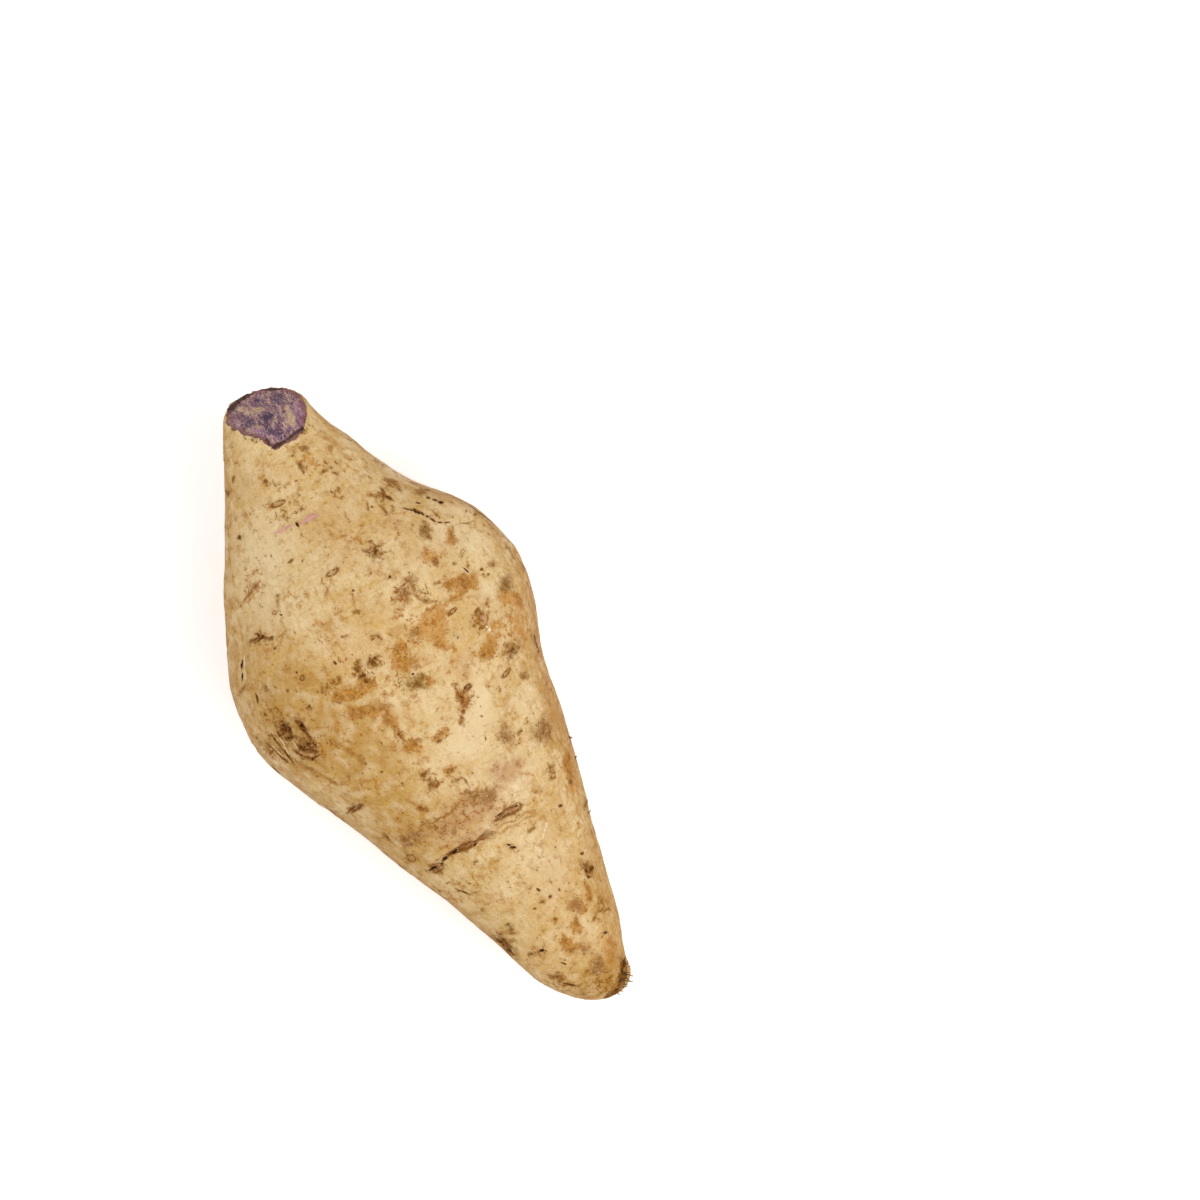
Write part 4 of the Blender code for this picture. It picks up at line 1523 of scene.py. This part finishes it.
    def _settle(self, mark: Mark, tree: BVHTree, ragged: float, seed: float) -> Placed:
        """Finds the place of a photographed mark on the skin.

        Args:
            mark: The mark.
            tree: The skin, for the camera's rays to meet.
            ragged: How ragged its kind is.
            seed: The mark's own number.

        Returns:
            The placed mark.
        """
        place, normal = self.camera.meet(tree, mark.pixel)
        least_rise = 0.4
        columns = []
        for tilt, size in ((mark.tilt, mark.length), (mark.tilt + 90, mark.width)):
            level = self.camera.heading(tilt)
            slope = -normal.dot(level) / max(normal.z, least_rise)
            columns.append((level + Vector((0, 0, slope))) * (size / 2 * MM))
        columns.append(normal)
        axes = np.linalg.inv(np.array([tuple(side) for side in columns]).T)
        centre = np.array(place)
        half_length, half_width = mark.length / 2, mark.width / 2
        give = give_of(ragged, half_width)
        return Placed(centre, drift_of([centre])[0], give, axes, half_length, half_width, seed)

    def _place_marks(self, piece: bpy.types.Object) -> list[tuple[Look, Placed]]:
        """Places every blemish: the photographed ones, and seeded ones of the same kinds out of sight."""
        tree = tree_of(piece)
        pixel_size_mm = self.camera.pixel_size / MM
        drawn = []
        for blemish, rows in MARKS.items():
            drawn.extend((blemish, Mark((right, down), *sizes)) for right, down, *sizes in rows)
        for blemish, rows in STROKES.items():
            for width, *bends in rows:
                drawn.extend((blemish, mark) for mark in along_line(width, bends, pixel_size_mm))
        placed = []
        for number, (blemish, mark) in enumerate(drawn):
            look = blemish.value
            placed.append((look, self._settle(mark, tree, look.ragged, float(number))))
        placed.extend(HiddenBlemishes().scatter(Skin(piece), float(len(placed))))
        return placed

    def _place_stains(self, piece: bpy.types.Object, groups: dict) -> dict[Enum | str, list]:
        """Places every stain of a table.

        Args:
            piece: The root.
            groups: The rows of each tone.

        Returns:
            Each tone's placed stains and their strengths.
        """
        tree = tree_of(piece)
        placed = {}
        for tone, rows in groups.items():
            placed[tone] = []
            for right, down, *sizes in rows:
                stain = SoftPatch((right, down), *sizes)
                placed[tone].append((self._settle(stain, tree, STAIN_RAGGED, 0.0), stain.strength))
        return placed

    def _refine(self, piece: bpy.types.Object, marks: list[tuple[Look, Placed]]) -> None:
        """Splits the faces under the cuts and the deeper blemishes."""
        skin = Skin(piece)
        centres = skin.face_centres
        chosen = np.zeros(len(centres), bool)
        for face in FLAT_FACES:
            near = np.linalg.norm(centres - np.array(face.centre), axis=1) < face.reach
            chosen |= near & (face.height(centres) > -0.9 * MM)
        for look, placed in marks:
            if look.depth + look.rim + look.rough > self.coarse_look:
                chosen |= placed.distance(centres, skin.face_drift, 9.0) < 1.2
        mesh = piece.data
        mesh.polygons.foreach_set("select", chosen)
        mesh.edges.foreach_set("select", np.zeros(len(mesh.edges), bool))
        mesh.vertices.foreach_set("select", np.zeros(len(mesh.vertices), bool))
        select_only(piece)
        bpy.context.tool_settings.mesh_select_mode = (False, False, True)
        bpy.ops.object.mode_set(mode="EDIT")
        bpy.ops.mesh.subdivide(number_cuts=1, smoothness=0.0)
        bpy.ops.object.mode_set(mode="OBJECT")
        finish_modifier(piece, "SMOOTH", factor=0.5, iterations=1)

    def _grain(self, skin: Skin) -> np.ndarray:
        """Each point's place as if the root were a plain roll: how far along it, and the turn about it.

        Args:
            skin: The root's mesh.

        Returns:
            Millimetres along the skin, then a point of a circle for the turn.
        """
        points = skin.in_mm
        end_gap = 1.5
        start, end = points[:, 0].min() + end_gap, points[:, 0].max() - end_gap
        stations = np.linspace(start, end, self.slice_count)
        middles = []
        for station in stations:
            ring = points[np.abs(points[:, 0] - station) < self.slice_half]
            low, high = ring.min(axis=0), ring.max(axis=0)
            middles.append((*((low + high) / 2)[1:], (high - low)[1:].mean() / 2))
        side, middle, radius = np.array(middles).T
        steps = np.hypot(np.diff(stations), np.diff(radius))
        lengths = np.concatenate(((0.0,), np.cumsum(steps)))
        along = np.interp(points[:, 0], stations, lengths)
        across = points[:, 1] - np.interp(points[:, 0], stations, side)
        up = points[:, 2] - np.interp(points[:, 0], stations, middle)
        turn = np.arctan2(up, across)
        return np.stack((along, self.roll_radius * np.cos(turn), self.roll_radius * np.sin(turn)), axis=1)

    def _rim(
        self, skin: Skin, faces: tuple[FlatFace, ...], lobes: list[tuple[Placed, float]]
    ) -> np.ndarray:
        """How far inside the edge of the flat faces each point lies.

        Args:
            skin: The root's mesh.
            faces: The faces, which bound the root together.
            lobes: Where the flesh is torn open past them, and how far, in millimetres.

        Returns:
            Millimetres inside the edge, and below zero outside it.
        """
        slack = 0.12
        height = np.max([face.height(skin.points) for face in faces], axis=0) / MM + slack
        for placed, torn in lobes:
            height += torn * np.exp(-placed.distance(skin.points, skin.drift, 4.0) ** 2)
        first, second = skin.edges().T
        crossing = (height[first] > 0) != (height[second] > 0)
        first, second = first[crossing], second[crossing]
        share = height[first] / (height[first] - height[second])
        edge = skin.points[first] + share[:, None] * (skin.points[second] - skin.points[first])
        tree = KDTree(len(edge))
        for number, point in enumerate(edge):
            tree.insert(point, number)
        tree.balance()
        far = 20.0
        distance = np.full(len(height), far)
        near = np.linalg.norm(skin.points - np.array(faces[0].centre), axis=1) < 2 * far * MM
        for number in np.flatnonzero(near):
            distance[number] = tree.find(skin.points[number])[2] / MM
        return np.where(height > 0, distance, -distance)

    def _stain_map(self, skin: Skin, stains: list[tuple[Placed, float]]) -> np.ndarray:
        """How strong one tone is at each point."""
        reach, steepness, firmness = 4.0, 2.4, 0.8
        clear = np.ones(len(skin.points))
        for placed, strength in stains:
            away = placed.distance(skin.points, skin.drift, reach)
            clear *= 1 - strength * np.exp(-(away**steepness) * firmness)
        return 1 - clear

    def _mark_maps(self, skin: Skin, marks: list[tuple[Look, Placed]]) -> np.ndarray:
        """Gives each face its nearest blemish, and keeps where its corners lie on that blemish.

        Args:
            skin: The root's mesh.
            marks: The placed blemishes.

        Returns:
            Which faces have a blemish.
        """
        far = 2.3
        nearest = np.full(len(skin.face_centres), far)
        owner = np.full(len(skin.face_centres), -1)
        for number, (_, placed) in enumerate(marks):
            away = placed.distance(skin.face_centres, skin.face_drift, far)
            ranked = away * min(1.0, 0.4 + 0.55 * placed.half_width)
            closer = (away < far) & (ranked < nearest)
            nearest[closer] = ranked[closer]
            owner[closer] = number
        points, faces = skin.corners()
        corner_owner = owner[faces]
        count = len(points)
        far_off = 99.0
        place = np.full((count, 3), far_off)
        size = np.ones((count, 3))
        size[:, 2] = 0.0
        look_map = np.zeros((count, 4))
        tint_map = np.ones((count, 4))
        for number, (look, placed) in enumerate(marks):
            mine = np.flatnonzero(corner_owner == number)
            if not len(mine):
                continue
            along, across, _ = placed.measure(skin.points[points[mine]], skin.drift[points[mine]])
            place[mine, 0] = along * placed.half_length
            place[mine, 1] = across * placed.half_width
            place[mine, 2] = placed.seed
            size[mine] = (placed.half_length, placed.half_width, look.crumbs)
            look_map[mine] = (look.fill, look.ring, look.core, look.hatch)
            tint_map[mine] = (*look.tint[:3], look.ragged * min(1.0, placed.half_width / 0.9))
        skin.store("mark_place", place)
        skin.store("mark_size", size)
        skin.store("mark_look", look_map)
        skin.store("mark_tint", tint_map)
        return owner >= 0

    def _relief(
        self, skin: Skin, marks: list[tuple[Look, Placed]], grain: np.ndarray, rim: np.ndarray
    ) -> tuple[np.ndarray, np.ndarray]:
        """How far each point of the skin rises or sinks.

        Args:
            skin: The root's mesh.
            marks: The placed blemishes.
            grain: Each point's place on the plain roll.
            rim: Each point's distance inside the edge of the cut.

        Returns:
            The rise in millimetres, and how hollow each point is, from 0 to 1.
        """
        points = skin.in_mm
        swell = rough_field(points, 13.0, 2) * 0.22 + rough_field(points, 4.5, 2, 3.0) * 0.1
        ripple = rough_field(grain / np.array((1.0, 7.0, 7.0)), 1.9, 2, 9.0)
        ridges = rough_field(grain / np.array((8.0, 1.0, 1.0)), 1.5, 2, 5.0)
        rise = swell + ripple * 0.07 + ridges * 0.06
        hollow = np.zeros(len(points))
        crumbs = rough_field(points, 0.8, 2, 17.0)
        for look, placed in marks:
            away = placed.distance(skin.points, skin.drift, 3.0)
            fine = min(1.0, placed.half_width / 0.45)
            inside = np.exp(-((away / 0.8) ** 4))
            edge = np.exp(-(((away - 1.0) / 0.32) ** 2))
            rise += fine * (look.rim * edge - look.depth * inside + look.rough * crumbs * inside)
            hollow = np.maximum(hollow, inside * min(1.0, look.depth * 2.0))
        return self._cut_relief(skin, rim, rise), hollow

    def _cut_relief(self, skin: Skin, rim: np.ndarray, rise: np.ndarray) -> np.ndarray:
        """The rise of the cut faces in place of the skin's: knife lines, fibres and a shrunken middle.

        Args:
            skin: The root's mesh.
            rim: Each point's distance inside the edge of the cut.
            rise: The rise of the skin, in millimetres.

        Returns:
            The rise of skin and flesh, in millimetres.
        """
        level = np.array(self.camera.heading(-62))
        across = np.array(self.camera.heading(28))
        points = skin.in_mm
        torn = fade(TORN_CHIP.height(skin.points) / MM, -0.5, -0.1)
        drawn_out = np.stack((points @ level / 4.0, points @ across, points[:, 2] / 6.0), axis=1)
        lines = rough_field(drawn_out, 0.9, 2, 2.0)
        pits = rough_field(points, 1.1, 3, 29.0)
        flesh = -0.22 * fade(rim, 0.1, 1.4) + 0.09 * np.exp(-(((rim - 1.0) / 0.35) ** 2))
        flesh += pits * 0.07 + lines * (0.05 + 0.2 * torn)
        share = fade(rim, -0.35, 0.25)
        return rise * (1 - share) + flesh * share


@dataclass(frozen=True)
class HiddenBlemishes:
    """The blemishes out of the photograph's sight: on the flanks, the ends and the underside.

    Attributes:
        count: How many there are.
        seed: The seed of their draw.
        visible_slope: Skin whose normal rises more than this is in the photograph's sight.
        clear_height: Skin lower than this rests on the table and stays clear.
    """

    count: int = 230
    seed: int = 11
    visible_slope: float = 0.22
    clear_height: float = 1.0 * MM

    def spots(self, skin: Skin) -> np.ndarray:
        """The numbers of the skin's points that are out of sight and clear of the table."""
        hidden = (skin.normals[:, 2] < self.visible_slope) & (skin.points[:, 2] > self.clear_height)
        for face in FLAT_FACES:
            hidden &= face.height(skin.points) < -2.0 * MM
        return np.flatnonzero(hidden)

    def scatter(self, skin: Skin, first_seed: float) -> list[tuple[Look, Placed]]:
        """Draws the hidden blemishes.

        Args:
            skin: The root's mesh.
            first_seed: The first one's own number.

        Returns:
            Each blemish's look and place.
        """
        draw = random.Random(self.seed)
        numbers = self.spots(skin)
        # Each kind's share of all, then its smallest and largest length in millimetres.
        kinds = {
            Blemish.DOT: (8, 0.5, 1.2), Blemish.PIT: (3, 0.5, 0.8), Blemish.SPOT: (7, 1.0, 2.2),
            Blemish.RING: (2, 1.6, 3.0), Blemish.LINE: (3, 1.5, 5.0), Blemish.STROKE: (4, 1.2, 3.6),
            Blemish.FAINT: (9, 1.5, 4.0), Blemish.SMEAR: (5, 2.0, 6.0), Blemish.SLIT: (2, 1.8, 5.0),
            Blemish.SCAB: (2, 2.0, 4.5), Blemish.SCUFF: (3, 2.5, 5.0), Blemish.MOULD: (1, 2.0, 4.0),
            Blemish.CRUST: (2, 1.8, 4.0),
        }
        slimness = {Blemish.LINE: 0.12, Blemish.SLIT: 0.32, Blemish.STROKE: 0.4, Blemish.FAINT: 0.4}
        shares = [share for share, _, _ in kinds.values()]
        found = []
        for number in range(self.count):
            spot = numbers[draw.randrange(len(numbers))]
            blemish = draw.choices(list(kinds), shares)[0]
            _, small, large = kinds[blemish]
            length = draw.uniform(small, large)
            width = max(0.35, length * (slimness.get(blemish) or draw.uniform(0.4, 0.85)))
            turn = draw.gauss(90.0, 28.0)
            look = blemish.value
            give = give_of(look.ragged, width / 2)
            found.append((look, self._lay(skin, spot, length, width, turn, give, first_seed + number)))
        return found

    def stain(self, skin: Skin) -> dict[Tone, list[tuple[Placed, float]]]:
        """Draws the hidden stains.

        Args:
            skin: The root's mesh.

        Returns:
            Each tone's placed stains and their strengths.
        """
        draw = random.Random(self.seed + 1)
        numbers = self.spots(skin)
        # Each tone's count, its smallest and largest length in millimetres, and its strength.
        kinds = {
            Tone.GOLD: (14, 14.0, 30.0, 0.8), Tone.OCHRE: (34, 3.0, 9.0, 0.85),
            Tone.BROWN: (46, 2.5, 8.0, 0.75), Tone.OLIVE: (10, 2.5, 5.0, 0.7),
            Tone.PALE: (16, 8.0, 18.0, 0.8), Tone.MAUVE: (10, 4.0, 10.0, 0.6),
            Tone.STREAK: (14, 12.0, 26.0, 0.8),
        }
        found = {}
        for tone, (count, small, large, strength) in kinds.items():
            found[tone] = []
            for _ in range(count):
                spot = numbers[draw.randrange(len(numbers))]
                length = draw.uniform(small, large)
                lengthways = tone in (Tone.STREAK, Tone.GOLD)
                turn = draw.gauss(0.0 if lengthways else 80.0, 25.0)
                width = length * draw.uniform(0.3, 0.7)
                laid = self._lay(skin, spot, length, width, turn, give_of(STAIN_RAGGED, width / 2), 0.0)
                found[tone].append((laid, strength * draw.uniform(0.6, 1.0)))
        return found

    def _lay(
        self, skin: Skin, spot: int, length: float, width: float, turn: float, give: float, seed: float
    ) -> Placed:
        """Lays one blemish on the skin.

        Args:
            skin: The root's mesh.
            spot: The number of the point at its middle.
            length: Its length, in millimetres.
            width: Its width, in millimetres.
            turn: Its long axis from the root's own length, in degrees.
            give: How much its outline strays.
            seed: Its own number.

        Returns:
            The placed blemish.
        """
        up = Vector(skin.normals[spot])
        lengthways = (Vector((1, 0, 0)) - up * up.x).normalized()
        around = up.cross(lengthways)
        angle = math.radians(turn)
        long_axis = lengthways * math.cos(angle) + around * math.sin(angle)
        short_axis = up.cross(long_axis)
        rows = (long_axis / (length / 2 * MM), short_axis / (width / 2 * MM), up)
        axes = np.array([tuple(row) for row in rows])
        return Placed(skin.points[spot], skin.drift[spot], give, axes, length / 2, width / 2, seed)


@dataclass(frozen=True)
class Rootlet:
    """A dry rootlet, or what is left of one.

    Attributes:
        pixel: Where it leaves the skin, in the photograph.
        length: Its length, in millimetres.
        radius: The radius of its foot, in millimetres.
        tilt: Its direction in the photograph, in degrees anticlockwise from right.
        rise: Its direction above the level, in degrees.
    """

    pixel: Pixel
    length: float
    radius: float
    tilt: float
    rise: float = 10.0


PHOTOGRAPHED_ROOTLETS = tuple(
    Rootlet((right, down), *sizes)
    for right, down, *sizes in (
        (623.5, 961, 1.5, 0.22, 62, 14), (624.5, 965, 1.1, 0.2, 80, -20), (625, 968, 1.6, 0.2, 35, 26),
        (625.5, 972, 1, 0.24, 22, -28), (625.5, 975, 1.9, 0.24, 4, 8), (625.5, 978, 1.2, 0.22, -30, 30),
        (625, 981, 1.9, 0.22, -12, 4), (624, 984, 1, 0.22, -45, -24), (623, 987, 1.2, 0.2, -10, 10),
        (621, 990, 0.9, 0.2, -60, 22), (618, 992.5, 0.9, 0.18, -60, 5), (623.5, 970, 2, 0.3, 70, -10),
        (622.5, 980, 2.2, 0.32, 82, -8), (226.6, 493, 0.6, 0.3, 178), (514, 549.5, 0.5, 0.14, 40),
        (569.3, 738, 0.7, 0.36, 10), (575.3, 758.6, 0.6, 0.34, 20), (586.2, 804.5, 0.8, 0.45, 15),
        (590.2, 812.5, 0.8, 0.36, -10), (570, 1000, 0.5, 0.25, -80), (243, 748, 0.6, 0.12, 190),
        (600, 880, 0.4, 0.2, 15), (534, 600, 0.4, 0.2, 10),
    )
)


@dataclass
class Rootlets:
    """The broken rootlets that stick out of the skin, all copied from one strand.

    Attributes:
        root: The root that they grow from.
        camera: The camera that the photographed places are seen from.
        hidden: How many grow out of its sight.
        seed: The seed of their draw.
        steepest: Those out of sight grow where the skin's normal rises less than this.
    """

    root: bpy.types.Object
    camera: PhotoCamera
    hidden: int = 26
    seed: int = 5
    steepest: float = -0.15

    def build(self) -> bpy.types.Object:
        """Builds and dresses the rootlets.

        Returns:
            One piece with all of them.
        """
        strand = self._strand()
        tree = tree_of(self.root)
        spin_step = 37.0
        copies = []
        for number, rootlet in enumerate(PHOTOGRAPHED_ROOTLETS):
            foot, _ = self.camera.meet(tree, rootlet.pixel)
            way = self.camera.heading(rootlet.tilt, rootlet.rise)
            copies.append(self._plant(strand, foot, way, rootlet.length, rootlet.radius, spin_step * number))
        copies.extend(self._hidden(strand))
        bpy.data.objects.remove(strand, do_unlink=True)
        select_only(copies[0])
        for copy in copies:
            copy.select_set(True)
        bpy.ops.object.join()
        piece = copies[0]
        piece.name = "rootlets"
        bpy.ops.object.shade_smooth()
        piece.data.materials.append(FibreFinish().material())
        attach(piece, BODY)
        return piece

    def _strand(self) -> bpy.types.Object:
        """The strand that is copied: one unit long and in foot radius, thinning and bent towards +X."""
        rings = 6
        bpy.ops.mesh.primitive_cone_add(
            vertices=7, radius1=1.0, radius2=0.35, depth=1.0, location=(0.0, 0.0, 0.5)
        )
        strand = bpy.context.object
        bpy.ops.object.transform_apply(location=True, rotation=True, scale=True)
        bpy.ops.object.mode_set(mode="EDIT")
        for ring in range(1, rings):
            bpy.ops.mesh.select_all(action="SELECT")
            bpy.ops.mesh.bisect(plane_co=(0.0, 0.0, ring / rings), plane_no=(0.0, 0.0, 1.0))
        bpy.ops.object.mode_set(mode="OBJECT")
        bend = 2.2
        for vertex in strand.data.vertices:
            height = vertex.co.z
            knob = 1 + 0.22 * math.sin(9.0 * height + 1.0)
            vertex.co.x = vertex.co.x * knob + bend * height**2
            vertex.co.y = vertex.co.y * knob + 0.5 * math.sin(5.0 * height)
        return strand

    def _plant(
        self, strand: bpy.types.Object, foot: Vector, way: Vector, length: float, radius: float, spin: float
    ) -> bpy.types.Object:
        """Copies the strand to a place of the skin.

        Args:
            strand: The strand.
            foot: Where it leaves the skin.
            way: Its direction.
            length: Its length, in millimetres.
            radius: Its foot's radius, in millimetres.
            spin: Which way it bends, in degrees.

        Returns:
            The copy, whose place is in its mesh.
        """
        copy = new_object("rootlet", strand.data.copy())
        turn = way.to_track_quat("Z", "X").to_matrix().to_4x4()
        size = Matrix.Diagonal((radius * MM, radius * MM, length * MM, 1.0))
        bend = Matrix.Rotation(math.radians(spin), 4, "Z")
        sunk = foot - way * (0.25 * radius * MM + 0.12 * MM)
        copy.data.transform(Matrix.Translation(sunk) @ turn @ bend @ size)
        return copy

    def _hidden(self, strand: bpy.types.Object) -> list[bpy.types.Object]:
        """Plants the rootlets that are out of the photograph's sight."""
        draw = random.Random(self.seed)
        skin = Skin(self.root)
        numbers = HiddenBlemishes().spots(skin)
        clear = (skin.points[numbers][:, 2] > 4.0 * MM) & (skin.normals[numbers][:, 2] < self.steepest)
        numbers = numbers[clear]
        copies = []
        for _ in range(self.hidden):
            spot = numbers[draw.randrange(len(numbers))]
            stray = Vector((draw.gauss(0, 0.5), draw.gauss(0, 0.5), draw.gauss(0, 0.5)))
            way = (Vector(skin.normals[spot]) + stray).normalized()
            stub = draw.random() < 0.6
            length = draw.uniform(0.4, 0.9) if stub else draw.uniform(0.8, 1.5)
            radius = draw.uniform(0.16, 0.36) if stub else draw.uniform(0.13, 0.2)
            spin = draw.uniform(0.0, 360.0)
            copies.append(self._plant(strand, Vector(skin.points[spot]), way, length, radius, spin))
        return copies


@dataclass
class Studio:
    """The white table, the soft lights and the camera.

    Attributes:
        camera: The camera.
        table_side: Side of the table.
        sky: Strength of the light from all round.
    """

    camera: PhotoCamera
    table_side: float = 3.0
    sky: float = 0.44

    def build(self) -> bpy.types.Object:
        """Sets the scene round the root.

        Returns:
            The table.
        """
        bpy.ops.object.select_all(action="DESELECT")
        bpy.ops.mesh.primitive_plane_add(size=self.table_side, location=(0.0, 0.0, 0.0))
        table = bpy.context.object
        table.name = "table"
        table.data.materials.append(FloorFinish().material())
        world = bpy.data.worlds.new("soft_room")
        world.use_nodes = True
        background = world.node_tree.nodes["Background"]
        background.inputs["Color"].default_value = (1.0, 1.0, 1.0, 1.0)
        background.inputs["Strength"].default_value = self.sky
        bpy.context.scene.world = world
        bpy.context.scene.view_settings.view_transform = "Standard"
        self._softbox("key_light", -25.0, 58.0, 1.1, 0.8, 6.4)
        self._softbox("fill_light", 150.0, 62.0, 1.2, 0.9, 4.4)
        self.camera.add()
        return table

    def _softbox(
        self, name: str, tilt: float, rise: float, distance: float, side: float, watts: float
    ) -> None:
        """Adds a square light that faces the root.

        Args:
            name: The light's name.
            tilt: Its side of the photograph, in degrees anticlockwise from right.
            rise: Its direction above the level, in degrees.
            distance: How far it is from the root.
            side: Its side.
            watts: Its power.
        """
        data = bpy.data.lights.new(name, "AREA")
        data.shape = "SQUARE"
        data.size = side
        data.energy = watts
        light = new_object(name, data)
        direction = self.camera.heading(tilt, rise)
        light.location = direction * distance
        light.rotation_mode = "QUATERNION"
        light.rotation_quaternion = direction.to_track_quat("Z", "Y")


def report(piece: bpy.types.Object) -> None:
    """Says how large a piece's mesh is."""
    triangles = sum(len(face.vertices) - 2 for face in piece.data.polygons)
    logging.info("%s: %d triangles", piece.name, triangles)


def main() -> None:
    """Dresses the root, then sets the table, the lights and the camera."""
    logging.basicConfig(level=logging.INFO, format="%(message)s")
    # without a seed the clock gives one, and the blemishes' outlines change from run to run
    noise.seed_set(NOISE_SEED)
    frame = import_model()
    camera = PhotoCamera()
    root = RootBody(frame["nodes"][SOLID_NODE], camera).build()
    report(root)
    report(Rootlets(root, camera).build())
    report(Studio(camera).build())


if __name__ == "__main__":
    main()
